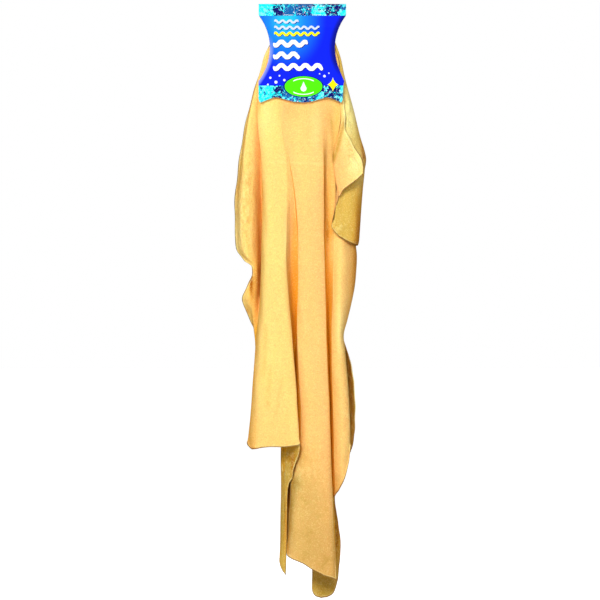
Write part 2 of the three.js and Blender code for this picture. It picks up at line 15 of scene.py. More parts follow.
import bpy
import numpy as np
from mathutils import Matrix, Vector


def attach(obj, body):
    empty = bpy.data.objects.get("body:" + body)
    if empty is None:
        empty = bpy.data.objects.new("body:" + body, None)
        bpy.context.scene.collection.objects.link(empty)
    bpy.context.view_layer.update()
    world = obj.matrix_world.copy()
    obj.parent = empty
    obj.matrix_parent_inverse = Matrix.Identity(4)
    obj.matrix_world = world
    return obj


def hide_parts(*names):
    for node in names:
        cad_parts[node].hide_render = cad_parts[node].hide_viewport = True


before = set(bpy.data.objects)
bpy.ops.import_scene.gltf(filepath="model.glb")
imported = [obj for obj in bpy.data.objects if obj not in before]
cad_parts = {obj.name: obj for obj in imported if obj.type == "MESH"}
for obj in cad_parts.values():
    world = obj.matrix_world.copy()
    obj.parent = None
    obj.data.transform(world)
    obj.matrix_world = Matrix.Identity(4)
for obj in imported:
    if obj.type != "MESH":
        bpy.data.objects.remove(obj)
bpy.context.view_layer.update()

print("pieces in the frame:", sorted(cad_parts))

# %% [markdown]
# ## Two helpers for smooth shapes
#
# Every shape here is worked out on whole arrays. A smooth step leads one value into another
# without a corner, and a smooth curve runs through the rows of a table. A spline object could
# do the second, but a formula can be read at a hundred thousand places in one call.

# %% Smooth steps and curves
def smooth_step(value, low, high):
    """0 up to low and 1 from high on; between them 3 t squared less 2 t cubed."""
    share = np.clip((value - low) / (high - low), 0, 1)
    return share * share * (3 - 2 * share)


def blend(first, second, share):
    """first where the share is 0, second where it is 1, and a straight mix between."""
    return first + (second - first) * share


def smooth_curve(table, at):
    """A smooth curve through a table's rows, whose first column is the place along it.

    Between two rows it is the cubic that leaves one and meets the next at the slope of the
    chord between each row's neighbours. Past either end it runs on straight.
    """
    places, values = table[:, 0], table[:, 1:]
    slopes = np.empty_like(values)
    slopes[1:-1] = (values[2:] - values[:-2]) / (places[2:] - places[:-2])[:, None]
    slopes[0] = (values[1] - values[0]) / (places[1] - places[0])
    slopes[-1] = (values[-1] - values[-2]) / (places[-1] - places[-2])
    inside = np.clip(at, places[0], places[-1])
    beyond = (at - inside)[..., None]
    row = np.clip(np.searchsorted(places, inside, side="right") - 1, 0, len(places) - 2)
    span = (places[row + 1] - places[row])[..., None]
    t = (inside - places[row])[..., None] / span
    curve = (1 + 2 * t) * (1 - t) ** 2 * values[row] + t * t * (3 - 2 * t) * values[row + 1]
    bend = t * (1 - t) ** 2 * slopes[row] - t * t * (1 - t) * slopes[row + 1]
    return curve + span * bend + beyond * np.where(beyond > 0, slopes[-1], slopes[0])


print("halfway up a smooth step:", float(smooth_step(0.5, 0, 1)))

# %% [markdown]
# ## The fold lines of the skin
#
# A hanging cloth could be dropped by a cloth simulation, but then its folds fall where they
# like. Here each fold has a known place, so the skin is drawn the way a pattern maker would
# mark it: by the lines that it is folded along, from its left cut edge round to its right side,
# and a short flap that turns forward over the right shoulder.
#
# The sizes say how far the skin hangs and spreads, how its neck is gathered in layers, and at
# which drops the card clamps it, lets it widen and lets it open.

# %% Sizes of the skin
HANG_DROP = 0.7425
SPREAD_WIDTH = 0.165
FOLD_DEPTH = 0.135
NECK_DROP = 0.008
GATHER_WIDTH = 0.062
LAYER_PITCH = 0.0014
CLAMP_DROP = 0.028
WIDEN_DROP = 0.072
OPEN_DROP = 0.097
FREEING_LENGTH = 0.148
GRIP_SHARE = 0.45
NECK_SHARE = NECK_DROP / HANG_DROP

print("the skin hangs", HANG_DROP, "m and spreads", SPREAD_WIDTH, "m")

# %% [markdown]
# ## The left wing and the first fold
#
# Each line says where it sits in the gathered neck (a share of the gathered width, and its depth
# counted in layers), and then points of drop, place across and depth. All are shares of the
# sizes above, and a depth below 0 is in front. They are the lines of the CAD skin, except that
# five beside the valleys stand up to 18 mm from theirs, to meet the light of the photograph.
#
# The left cut edge stands away from the bundle as a wing, with a notch where the flank of the
# hide was trimmed. A valley leads from it to the first fold, which has a crest on its left and a
# broad face.

# %% Lines of the left wing and the first fold
WING_LINES = {
    "left_edge": ([-0.5, 0], [
        [0.1, -0.293, 0.02], [0.178, -0.397, 0], [0.246, -0.459, -0.01], [0.33, -0.502, -0.02],
        [0.395, -0.499, -0.03], [0.415, -0.49, -0.04], [0.426, -0.452, -0.07],
        [0.434, -0.425, -0.09], [0.4385, -0.388, -0.1], [0.448, -0.38, -0.1],
        [0.458, -0.384, -0.09], [0.468, -0.405, -0.07], [0.481, -0.426, -0.04],
        [0.495, -0.447, 0], [0.508, -0.435, 0.02], [0.529, -0.397, 0.04], [0.55, -0.345, 0.075],
        [0.57, -0.315, 0.085], [0.667, -0.29, 0.02], [0.75, -0.32, -0.04]]),
    "left_crest": ([-0.44, 0], [
        [0.1, -0.298, -0.02], [0.178, -0.388, -0.09], [0.246, -0.43, -0.13],
        [0.33, -0.45, -0.16], [0.395, -0.452, -0.165], [0.415, -0.44, -0.165],
        [0.428, -0.41, -0.15], [0.4385, -0.36, -0.12], [0.448, -0.35, -0.11],
        [0.46, -0.35, -0.095], [0.483, -0.395, -0.07], [0.498, -0.408, -0.06],
        [0.52, -0.39, -0.005], [0.55, -0.363, 0.025], [0.57, -0.35, 0.03], [0.667, -0.34, -0.04],
        [0.75, -0.36, -0.08]]),
    "left_lip": ([-0.37, 0], [
        [0.1, -0.282, -0.04], [0.178, -0.358, -0.07], [0.246, -0.372, -0.1],
        [0.33, -0.375, -0.12], [0.4, -0.38, -0.13], [0.425, -0.365, -0.12],
        [0.4385, -0.343, -0.1], [0.46, -0.34, -0.08], [0.498, -0.365, -0.06],
        [0.52, -0.374, -0.045], [0.545, -0.365, -0.035], [0.57, -0.356, -0.035],
        [0.667, -0.365, -0.09], [0.75, -0.395, -0.12]]),
    "left_valley": ([-0.3, 0], [
        [0.1, -0.263, -0.05], [0.178, -0.325, -0.035], [0.246, -0.315, -0.02],
        [0.33, -0.307, 0.01], [0.4, -0.3, 0.03], [0.456, -0.3, 0.03], [0.498, -0.316, 0],
        [0.52, -0.33, -0.03], [0.545, -0.338, -0.06], [0.57, -0.335, -0.072],
        [0.667, -0.378, -0.14], [0.75, -0.408, -0.16]]),
    "first_fold_left": ([-0.2, 0], [
        [0.1, -0.24, -0.08], [0.167, -0.336, -0.12], [0.258, -0.312, -0.18],
        [0.32, -0.297, -0.21], [0.431, -0.312, -0.22], [0.498, -0.322, -0.21],
        [0.556, -0.342, -0.2], [0.633, -0.367, -0.21], [0.682, -0.382, -0.21],
        [0.74, -0.41, -0.21]]),
    "first_fold_crest": ([-0.13, 0], [
        [0.1, -0.2, -0.12], [0.167, -0.285, -0.17], [0.258, -0.262, -0.25],
        [0.33, -0.255, -0.29], [0.431, -0.27, -0.31], [0.498, -0.282, -0.31],
        [0.6, -0.31, -0.31], [0.7, -0.345, -0.3], [0.755, -0.366, -0.29]]),
    "first_fold_face": ([-0.06, 0], [
        [0.1, -0.16, -0.12], [0.167, -0.19, -0.17], [0.258, -0.18, -0.25], [0.33, -0.16, -0.3],
        [0.4, -0.165, -0.32], [0.431, -0.155, -0.325], [0.498, -0.13, -0.33],
        [0.6, -0.085, -0.33], [0.7, -0.05, -0.32], [0.745, -0.038, -0.31]]),
    "first_fold_right": ([0, 0], [
        [0.1, -0.14, -0.12], [0.167, -0.18, -0.165], [0.212, -0.165, -0.2],
        [0.258, -0.128, -0.245], [0.33, -0.117, -0.285], [0.39, -0.122, -0.3],
        [0.431, -0.127, -0.305], [0.498, -0.107, -0.31], [0.55, -0.084, -0.31],
        [0.633, -0.053, -0.31], [0.7, -0.035, -0.305], [0.745, -0.022, -0.3]]),
}

print("lines:", *WING_LINES)

# %% [markdown]
# ## The second fold
#
# The valley in the middle is closed at the top and opens downwards into the deepest shadow of
# the bundle. The second fold beside it hangs lowest in front, and swings out to the left there.

# %% Lines of the middle valley and the second fold
MIDDLE_LINES = {
    "middle_valley_left": ([0.06, 0], [
        [0.1, -0.11, -0.12], [0.167, -0.15, -0.16], [0.212, -0.155, -0.198],
        [0.258, -0.112, -0.235], [0.33, -0.088, -0.26], [0.39, -0.085, -0.225],
        [0.431, -0.087, -0.2], [0.498, -0.076, -0.19], [0.55, -0.068, -0.165],
        [0.633, -0.11, -0.08], [0.7, -0.15, -0.03], [0.75, -0.158, -0.05], [0.85, -0.162, -0.07],
        [0.92, -0.165, -0.09], [0.94, -0.176, -0.1], [0.96, -0.16, -0.1]]),
    "middle_valley_right": ([0.12, 0], [
        [0.1, -0.09, -0.12], [0.167, -0.13, -0.158], [0.212, -0.15, -0.198],
        [0.258, -0.103, -0.232], [0.33, -0.055, -0.24], [0.39, -0.035, -0.2],
        [0.431, -0.025, -0.165], [0.498, -0.03, -0.14], [0.55, -0.041, -0.115],
        [0.633, -0.085, -0.05], [0.7, -0.128, 0.01], [0.75, -0.12, 0.03], [0.8, -0.108, 0.04],
        [0.825, -0.12, 0.035], [0.85, -0.138, 0.03], [0.885, -0.152, 0.03], [0.92, -0.158, 0.02],
        [0.94, -0.164, 0.01], [0.96, -0.164, 0]]),
    "second_fold_left": ([0.18, 0], [
        [0.1, -0.06, -0.12], [0.167, -0.11, -0.16], [0.212, -0.14, -0.2], [0.258, -0.098, -0.24],
        [0.313, -0.058, -0.275], [0.355, -0.036, -0.285], [0.4, -0.028, -0.285],
        [0.48, -0.03, -0.285], [0.55, -0.036, -0.28], [0.633, -0.02, -0.265],
        [0.683, -0.003, -0.245], [0.736, -0.01, -0.21], [0.768, -0.042, -0.18],
        [0.785, -0.062, -0.165], [0.8014, -0.081, -0.15], [0.835, -0.087, -0.135],
        [0.87, -0.1, -0.12], [0.916, -0.118, -0.11], [0.935, -0.122, -0.11]]),
    "second_fold_crest": ([0.26, 0], [
        [0.1, -0.01, -0.13], [0.167, -0.02, -0.165], [0.212, -0.04, -0.2],
        [0.246, -0.025, -0.235], [0.313, 0, -0.285], [0.355, 0.015, -0.3], [0.48, 0.02, -0.31],
        [0.55, 0.02, -0.31], [0.633, 0.03, -0.3], [0.683, 0.04, -0.285], [0.736, 0.03, -0.26],
        [0.785, -0.02, -0.235], [0.835, -0.05, -0.21], [0.87, -0.065, -0.2],
        [0.905, -0.083, -0.19], [0.935, -0.09, -0.185]]),
    "second_fold_face": ([0.32, 0], [
        [0.1, 0.06, -0.13], [0.167, 0.075, -0.19], [0.246, 0.1, -0.27], [0.313, 0.118, -0.31],
        [0.4, 0.123, -0.32], [0.48, 0.137, -0.32], [0.55, 0.145, -0.32], [0.633, 0.158, -0.31],
        [0.736, 0.182, -0.3], [0.8, 0.195, -0.29], [0.87, 0.2, -0.28], [0.965, 0.217, -0.26]]),
    "second_fold_right": ([0.38, 0], [
        [0.1, 0.11, -0.12], [0.167, 0.141, -0.17], [0.212, 0.147, -0.215], [0.246, 0.15, -0.25],
        [0.313, 0.155, -0.29], [0.4, 0.16, -0.305], [0.48, 0.168, -0.305], [0.55, 0.176, -0.305],
        [0.633, 0.188, -0.295], [0.736, 0.207, -0.28], [0.8, 0.219, -0.265],
        [0.87, 0.233, -0.245], [0.97, 0.25, -0.22]]),
}

print("lines:", *MIDDLE_LINES)

# %% [markdown]
# ## The third fold, the inside and the back
#
# The third fold turns round to the right and inwards. What lies behind shows only at its lower
# end and from other sides, so a few lines lead the cloth across the inside, round the back and
# forward again by the tongue, the lowest point of the skin, to its right side.

# %% Lines of the third fold, the inside and the back
THIRD_LINES = {
    "right_valley": ([0.42, 0], [
        [0.1, 0.15, -0.1], [0.167, 0.19, -0.135], [0.212, 0.195, -0.16], [0.246, 0.185, -0.175],
        [0.313, 0.175, -0.17], [0.4, 0.178, -0.14], [0.48, 0.19, -0.115], [0.55, 0.195, -0.11],
        [0.633, 0.203, -0.115], [0.7, 0.21, -0.12], [0.77, 0.219, -0.125], [0.84, 0.236, -0.13]]),
    "third_fold_left": ([0.45, 0], [
        [0.1, 0.18, -0.08], [0.167, 0.235, -0.1], [0.212, 0.245, -0.13], [0.246, 0.245, -0.14],
        [0.33, 0.245, -0.165], [0.41, 0.24, -0.2], [0.48, 0.235, -0.225], [0.55, 0.228, -0.23],
        [0.633, 0.228, -0.22], [0.736, 0.24, -0.2], [0.8, 0.248, -0.18], [0.83, 0.253, -0.17]]),
    "third_fold_crest": ([0.48, 0], [
        [0.1, 0.22, -0.06], [0.167, 0.29, -0.095], [0.212, 0.31, -0.115], [0.246, 0.32, -0.12],
        [0.33, 0.32, -0.16], [0.38, 0.305, -0.19], [0.41, 0.295, -0.235], [0.48, 0.285, -0.28],
        [0.55, 0.277, -0.29], [0.633, 0.283, -0.28], [0.736, 0.297, -0.26], [0.81, 0.3, -0.23]]),
    "third_fold_right": ([0.5, 0.5], [
        [0.1, 0.25, -0.03], [0.167, 0.33, -0.01], [0.246, 0.37, 0], [0.33, 0.375, -0.01],
        [0.385, 0.38, -0.04], [0.405, 0.398, -0.06], [0.424, 0.407, -0.08], [0.45, 0.4, -0.1],
        [0.48, 0.387, -0.11], [0.507, 0.364, -0.135], [0.532, 0.337, -0.17],
        [0.557, 0.309, -0.2], [0.583, 0.319, -0.22], [0.633, 0.332, -0.235],
        [0.7, 0.348, -0.23], [0.76, 0.35, -0.21]]),
}

BACK_LINES = {
    "inner_right": ([0.42, 1], [
        [0.1, 0.22, 0.01], [0.167, 0.3, 0.04], [0.246, 0.34, 0.08], [0.33, 0.345, 0.1],
        [0.41, 0.35, 0.1], [0.48, 0.335, 0.11], [0.55, 0.27, 0.1], [0.633, 0.3, 0.08],
        [0.76, 0.32, 0.06]]),
    "inner_middle": ([0.05, 1], [
        [0.1, 0.1, 0], [0.167, 0.08, 0.02], [0.246, 0.08, 0.06], [0.33, 0.08, 0.1],
        [0.48, 0.08, 0.13], [0.633, 0.09, 0.13], [0.76, 0.1, 0.11]]),
    "inner_fold": ([-0.5, 1.5], [
        [0.1, -0.22, 0.03], [0.167, -0.29, 0.06], [0.246, -0.3, 0.1], [0.33, -0.3, 0.14],
        [0.48, -0.28, 0.17], [0.633, -0.29, 0.16], [0.72, -0.31, 0.14]]),
    "back_left": ([-0.35, 2], [
        [0.1, -0.15, 0.08], [0.167, -0.22, 0.15], [0.246, -0.24, 0.22], [0.33, -0.23, 0.29],
        [0.48, -0.2, 0.32], [0.633, -0.2, 0.29], [0.74, -0.2, 0.24]]),
    "back_middle": ([0, 2], [
        [0.1, 0, 0.07], [0.167, 0, 0.11], [0.246, -0.01, 0.16], [0.33, 0, 0.21],
        [0.48, 0, 0.24], [0.633, 0, 0.22], [0.8, 0.01, 0.15], [0.93, 0, 0.08]]),
    "back_right": ([0.3, 2], [
        [0.1, 0.16, 0.08], [0.167, 0.2, 0.15], [0.246, 0.24, 0.22], [0.33, 0.26, 0.28],
        [0.48, 0.2, 0.3], [0.633, 0.2, 0.26], [0.8, 0.12, 0.17], [0.95, 0.09, 0.06],
        [0.968, 0.088, 0.045], [0.985, 0.07, 0.03], [0.998, 0.066, 0.02]]),
    "tongue": ([0.47, 1.7], [
        [0.1, 0.25, 0.06], [0.167, 0.31, 0.11], [0.246, 0.39, 0.15], [0.33, 0.38, 0.19],
        [0.48, 0.29, 0.26], [0.56, 0.27, 0.22], [0.633, 0.31, 0.19], [0.7, 0.32, 0.17],
        [0.8, 0.22, 0.15], [0.9, 0.19, 0.09], [0.96, 0.165, 0.02], [1, 0.15, -0.01]]),
    "right_side": ([0.56, 0.5], [
        [0.094, 0.288, 0.01], [0.128, 0.323, 0.02], [0.178, 0.385, 0.03], [0.22, 0.432, 0.02],
        [0.258, 0.48, 0.01], [0.28, 0.47, 0], [0.33, 0.448, 0], [0.384, 0.425, 0.02],
        [0.407, 0.413, 0.04], [0.45, 0.36, 0.14], [0.5, 0.3, 0.17], [0.54, 0.29, 0.14],
        [0.557, 0.305, 0.1], [0.6, 0.367, 0.06], [0.64, 0.397, 0.04], [0.684, 0.405, 0.04],
        [0.734, 0.392, 0.05], [0.768, 0.345, 0.07], [0.8, 0.28, 0.09], [0.83, 0.248, 0.08],
        [0.862, 0.266, 0.05], [0.912, 0.292, 0.01], [0.956, 0.275, -0.03], [0.98, 0.262, -0.06]]),
}

print("lines:", *THIRD_LINES, *BACK_LINES)

# %% [markdown]
# ## The flap
#
# From the right side a flap turns forward over the shoulder, in front of the third fold. It is
# the same hide, so its lines simply go on counting from the body's.

# %% Lines of the flap
FLAP_LINES = {
    "shoulder": ([0.52, -1], [
        [0.094, 0.29, -0.04], [0.128, 0.315, -0.05], [0.178, 0.365, -0.07], [0.22, 0.4, -0.095],
        [0.258, 0.43, -0.13], [0.33, 0.413, -0.19], [0.4, 0.39, -0.23]]),
    "turn": ([0.24, -1.5], [
        [0.094, 0.25, -0.1], [0.128, 0.268, -0.115], [0.167, 0.285, -0.13],
        [0.19, 0.292, -0.138], [0.207, 0.288, -0.148], [0.228, 0.262, -0.165],
        [0.25, 0.236, -0.19], [0.29, 0.243, -0.225], [0.315, 0.262, -0.245],
        [0.327, 0.272, -0.255], [0.35, 0.243, -0.27], [0.38, 0.205, -0.28]]),
    "face": ([0.36, -2], [
        [0.094, 0.262, -0.12], [0.128, 0.28, -0.135], [0.167, 0.3, -0.155],
        [0.19, 0.304, -0.165], [0.207, 0.298, -0.178], [0.228, 0.298, -0.2],
        [0.246, 0.32, -0.235], [0.28, 0.355, -0.29], [0.31, 0.355, -0.31]]),
    "right_edge": ([0.46, -2], [
        [0.094, 0.27, -0.11], [0.128, 0.288, -0.125], [0.167, 0.31, -0.15],
        [0.189, 0.322, -0.165], [0.212, 0.322, -0.18], [0.229, 0.36, -0.2],
        [0.239, 0.384, -0.215], [0.249, 0.414, -0.235], [0.2626, 0.4515, -0.255],
        [0.273, 0.462, -0.265], [0.286, 0.459, -0.275], [0.296, 0.45, -0.285]]),
}

BODY_LINES = {**WING_LINES, **MIDDLE_LINES, **THIRD_LINES, **BACK_LINES}
lines = [*BODY_LINES.values(), *FLAP_LINES.values()]
line_names = [*BODY_LINES, *FLAP_LINES]
print("fold lines:", len(BODY_LINES), "on the body and", len(FLAP_LINES), "on the flap")

# %% [markdown]
# ## Where a fold line runs
#
# In the neck the lines lie side by side in flat layers, where the card clamps them. Below the
# clamp they spread to the width of the hanging bundle, then open in depth as the card lets them
# go. Three smooth steps down the drop say how far each of these has come.
#
# From line to line the cloth is a smooth curve. A few lines are pressed creases, where only a
# share of the curve's slope is left, so that the cloth turns sharply.

# %% Place every line at every drop
CREASE_SHARES = {
    "first_fold_left": 0.4, "first_fold_right": 0.35, "second_fold_left": 0.35,
    "second_fold_right": 0.35, "third_fold_left": 0.4, "third_fold_right": 0.6,
}
# Between these drops the right side stops following the flap, which ends at the second.
FLAP_FREE_SHARE = 0.36
FLAP_END_SHARE = 0.407
TINY = 1e-9


def line_places(line, drops):
    """X and Y of one fold line at the given drop shares, in metres.

    X goes from its share of the gathered width to its place across the bundle, and Y from its
    layer in the neck to its own depth, pressed flatter while the card still grips it.
    """
    (gather_share, layer), points = line
    spot = smooth_curve(np.array(points), drops)
    depth = drops * HANG_DROP
    widened = smooth_step(depth, NECK_DROP, WIDEN_DROP)
    opened = smooth_step(depth, CLAMP_DROP, OPEN_DROP)
    freed = smooth_step(depth, OPEN_DROP, OPEN_DROP + FREEING_LENGTH)
    press = blend(GRIP_SHARE, 1, freed)
    across = blend(gather_share * GATHER_WIDTH, spot[..., 0] * SPREAD_WIDTH, widened)
    out = blend(layer * LAYER_PITCH, spot[..., 1] * FOLD_DEPTH * press, opened)
    return np.stack([across, out], -1)


def course(index, t, drops):
    """The cloth t of the way across from one fold line to the next, at each drop.

    It is the cubic whose slope at a line is the slope from the point before, less the slope
    over both spans together, plus the slope to the point after. A span counts as the square
    root of its length, which rounds a fold without a loop or an overshoot. A mirrored point
    stands in for one that is missing beyond an edge, and below the flap for the flap's own. At
    a creased line only a share of the slope is left.
    """
    here, after = (line_places(lines[at], drops) for at in (index, index + 1))
    before = line_places(lines[index - 1], drops) if index else 2 * here - after
    mirrored = 2 * after - here
    beyond = mirrored if index + 2 == len(lines) else line_places(lines[index + 2], drops)
    if index + 2 == len(BODY_LINES):
        torn = smooth_step(drops, FLAP_FREE_SHARE, FLAP_END_SHARE)[..., None]
        beyond = blend(beyond, mirrored, torn)
    span_before, span, span_after = (
        np.sqrt(np.linalg.norm(to - start, axis=-1, keepdims=True) + TINY)
        for start, to in ((before, here), (here, after), (after, beyond)))
    chord = (after - here) / span
    leave = (here - before) / span_before - (after - before) / (span_before + span) + chord
    meet = chord - (beyond - here) / (span + span_after) + (beyond - after) / span_after
    leave, meet = (
        slope * CREASE_SHARES.get(line_names[at], 1)
        for slope, at in ((leave, index), (meet, index + 1)))
    t = t[..., None]
    straight = here * (1 + 2 * t) * (1 - t) ** 2 + after * t * t * (3 - 2 * t)
    return straight + span * (leave * t * (1 - t) ** 2 - meet * t * t * (1 - t))


print("left edge at mid drop, X and Y in metres:", line_places(lines[0], np.array([0.4]))[0])

# %% [markdown]
# ## The skin's outline
#
# A skin has no straight edge: its hem is wherever the legs, flanks and tail of the hide were
# trimmed. A wider sheet could be cut to it, but the cut would leave a ragged row of faces. So
# the hem is a drop for each place across the fold lines, and every column of the mesh ends at
# its own. The columns are closer together where a fold shows, and the rows near the hem,
# where the edge curls.

# %% Hem, columns and rows
BODY_HEM_SHARES = [
    [0, 0.742], [1, 0.744], [2, 0.745], [3, 0.742], [4, 0.7357], [4.5, 0.743], [4.88, 0.748],
    [5.1, 0.747], [5.21, 0.745], [5.37, 0.7435], [5.65, 0.744], [5.87, 0.742], [6, 0.7415],
    [7, 0.739], [7.14, 0.754], [7.36, 0.771], [7.45, 0.7845], [7.5, 0.798], [7.63, 0.8064],
    [7.7, 0.832], [7.74, 0.869], [7.765, 0.904], [7.78, 0.936], [7.8, 0.9595], [7.9, 0.953],
    [8, 0.941], [8.2, 0.92], [8.4, 0.905], [9, 0.9], [9.5, 0.903], [10, 0.91], [10.28, 0.921],
    [10.6, 0.927], [11, 0.93], [11.22, 0.935], [11.35, 0.939], [11.47, 0.9455], [11.55, 0.95],
    [11.8, 0.96], [12, 0.963], [12.78, 0.967], [13, 0.966], [13.3, 0.93], [14, 0.84],
    [14.4, 0.828], [15, 0.826], [15.6, 0.818], [16, 0.806], [16.3, 0.794], [16.8, 0.766],
    [17, 0.745], [18, 0.74], [19, 0.74], [20, 0.715], [21, 0.715], [21.25, 0.735],
    [21.35, 0.80], [21.6, 0.86], [22, 0.915], [22.95, 0.955], [23, 0.984], [23.15, 0.993],
    [23.4, 0.9975], [23.9, 1], [24.35, 0.9985], [24.63, 0.995], [24.8, 0.991], [24.9, 0.984],
    [24.95, 0.976], [25, 0.968],
]
FLAP_HEM_SHARES = [
    [25, 0.407], [25.9, 0.4057], [26.16, 0.4024], [26.3, 0.399], [26.5, 0.3923],
    [26.7, 0.383], [26.8, 0.379], [26.9, 0.3737], [27, 0.327], [27.2, 0.3266], [27.4, 0.3215],
    [27.45, 0.319], [27.66, 0.313], [28, 0.3064], [28.6, 0.297], [29, 0.288],
]
BODY_STEPS = [
    10, 8, 8, 8, 10, 14, 6, 20, 5, 8, 8, 14, 8, 8, 8, 6, 10, 5, 8, 8, 8, 10, 10, 10, 12,
]
FLAP_STEPS = [5, 10, 12, 10]
UPPER_ROWS = 84
LOWER_ROWS = 109
HEM_ROWS = 8
HEM_SHARE = 0.012


def columns(first, steps):
    """The line index and the share of the way to the next line, for each column of points."""
    index = np.repeat(np.arange(first, first + len(steps)), steps)
    share = np.concatenate([np.arange(count) / count for count in steps])
    return np.append(index, index[-1]), np.append(share, 1)


def row_shares(flap_share):
    """How far down each row lies, from 0 at the neck to 1 at the hem.

    One row lies at the share where the flap ends, and the last few crowd towards the hem.
    """
    upper = np.linspace(0, flap_share, UPPER_ROWS, endpoint=False)
    lower = np.linspace(flap_share, 1 - HEM_SHARE, LOWER_ROWS, endpoint=False)
    return np.concatenate([upper, lower, np.linspace(1 - HEM_SHARE, 1, HEM_ROWS)])


def cloth_points(first, steps, hem_shares, rows):
    """The grid of points of one part of the skin: across its lines, then down to its hem.

    The hem's drop is read straight between the rows of its table. Each column shares out the
    way from the neck to that drop by its rows.
    """
    index, share = columns(first, steps)
    hem = np.interp(index + share, *np.array(hem_shares).T)
    drops = NECK_SHARE + (hem - NECK_SHARE) * rows[:, None]
    places = np.empty((*drops.shape, 2))
    for line in np.unique(index):
        here = index == line
        part = drops[:, here]
        places[:, here] = course(line, np.broadcast_to(share[here], part.shape), part)
    return np.concatenate([places, -drops[..., None] * HANG_DROP], -1)


flap_row_share = (FLAP_END_SHARE - NECK_SHARE) / (BODY_HEM_SHARES[-1][1] - NECK_SHARE)
body_rows = row_shares(flap_row_share)
flap_rows = body_rows[:UPPER_ROWS + 1] / flap_row_share
body = cloth_points(0, BODY_STEPS, BODY_HEM_SHARES, body_rows)
flap = cloth_points(len(BODY_STEPS), FLAP_STEPS, FLAP_HEM_SHARES, flap_rows)
print("body grid:", body.shape[:2], "flap grid:", flap.shape[:2])
print("flap meets the body within", float(np.abs(flap[:, 0] - body[:UPPER_ROWS + 1, -1]).max()))

# %% [markdown]
# ## Cut edges and soft waves
#
# Chamois is cut with shears and then stretched and dried, so its edges lift and curl a little
# and never lie quite straight. The broad faces of the folds are not flat either: they keep the
# memory of how the skin lay in its bale. The curl is an offset along the surface's normal that
# dies away from the edge. The waves are a gentle push of the whole space, the same for every
# layer, so that layers lying close together bend together and never cross.

# %% Curl the edges and push in the waves
CURL_WIDTH = 0.007
CURL_RISE = 0.0013
FRILL_LENGTH = 0.046
FRILL_SHARE = 0.35
WAVE_SEED = 7
WAVES = (
    {"count": 9, "length": (0.07, 0.13), "push": 0.0007},
    {"count": 12, "length": (0.03, 0.06), "push": 0.00028},
    {"count": 14, "length": (0.012, 0.022), "push": 0.00009},
)
UPRIGHT_STRETCH = 0.4
SIDEWAYS_SHARE = 0.2
CALM_DROP = 0.13
WAVING_DROP = 0.21


def run_lengths(grid, axis):
    """The distance along the surface from the first point of each row or column to the rest."""
    steps = np.linalg.norm(np.diff(grid, axis=axis), axis=-1)
    start = np.zeros_like(np.take(steps, [0], axis))
    return np.cumsum(np.concatenate([start, steps], axis), axis)


def normals_of(grid):
    """The unit normal at each point: the cross product of the ways down and across."""
    normal = np.cross(np.gradient(grid, axis=0), np.gradient(grid, axis=1))
    return normal / np.maximum(np.linalg.norm(normal, axis=-1, keepdims=True), TINY)


def edge_distances(grid, left_is_cut, cut_right_rows):
    """How far each point of a grid is from the nearest cut edge, measured over the surface.

    The edges are the hem, the first column if it is cut, and the last column where it is cut.
    A metre is added to the way to the last column where it isn't, so that it never counts.
    """
    across, down = run_lengths(grid, 1), run_lengths(grid, 0)
    distances = [down[-1:] - down, across[:, -1:] - across + ~cut_right_rows[:, None]]
    if left_is_cut:
        distances.append(across)
    return np.minimum.reduce(distances)


def curled(grid, distance, along):
    """The grid with its cut edges lifted along their normals.

    The lift is the rise times the square of what is left of the curl's width, and it swells
    and shrinks along the edge as a sine does.
    """
    left = np.clip(1 - distance / CURL_WIDTH, 0, 1)
    swell = 1 + FRILL_SHARE * np.sin(2 * math.pi * along / FRILL_LENGTH)
    return grid + normals_of(grid) * (CURL_RISE * left ** 2 * swell)[..., None]


def waves(points):
    """A gentle push at each point in space: a sum of plane waves of random way and length.

    Each wave is a sine of the point's place along its way plus a random phase. It pushes mostly
    in depth, a little sideways and not at all up or down, and the card holds the top calm.
    """
    draw = np.random.default_rng(WAVE_SEED)
    push = np.zeros_like(points)
    for kind in WAVES:
        for _ in range(kind["count"]):
            way = draw.normal(size=3) * (1, 1, UPRIGHT_STRETCH)
            way *= 2 * math.pi / draw.uniform(*kind["length"]) / np.linalg.norm(way)
            lean = draw.normal(size=3) * (SIDEWAYS_SHARE, 1, 0)
            phase = draw.uniform(0, 2 * math.pi)
            push += kind["push"] * lean * np.sin(points @ way + phase)[..., None]
    return push * smooth_step(-points[..., 2:], CALM_DROP, WAVING_DROP)


body_free = np.arange(len(body)) >= UPPER_ROWS
body_edge = edge_distances(body, True, body_free)
flap_edge = edge_distances(flap, False, np.full(len(flap), True))
body = curled(body, body_edge, run_lengths(body, 0) + run_lengths(body, 1))
flap_shape = curled(flap, flap_edge, run_lengths(flap, 0) + run_lengths(flap, 1))
flap_shape[:, 0] = body[:UPPER_ROWS + 1, -1]
body = body + waves(body)
flap = flap_shape + waves(flap_shape)
print("edge points lifted:", int((body_edge < CURL_WIDTH).sum() + (flap_edge < CURL_WIDTH).sum()))

# %% [markdown]
# ## The card's sizes
#
# The card is an hourglass of board. Its two panels press the neck flat under the staples and
# then flare apart over the folds, so the skin inside has to stay between them. A collision in
# a simulation could see to that, but both panels are plain slopes, and holding each point's
# depth between them is exact. The sizes are needed again further down, for the card itself.

# %% Measures of the card
CARD_WIDTH = 0.1105
CARD_FOOT_WIDTH = 0.108
CARD_WAIST_WIDTH = 0.0812
CARD_HEIGHT = 0.124
CARD_HEAD_HEIGHT = 0.0144
CARD_FOOT_HEIGHT = 0.027
CARD_WAVE = 0.0063
CARD_CORNER_RADIUS = 0.005
BOARD_THICKNESS = 0.0005
FOLD_RADIUS = 0.0024
FRONT_FLARE = 0.0166
BACK_FLARE = 0.0084
FLARE_OVERRUN = 0.004
CARD_ROOM = 0.0009
PANEL_OUTER = 0.00405


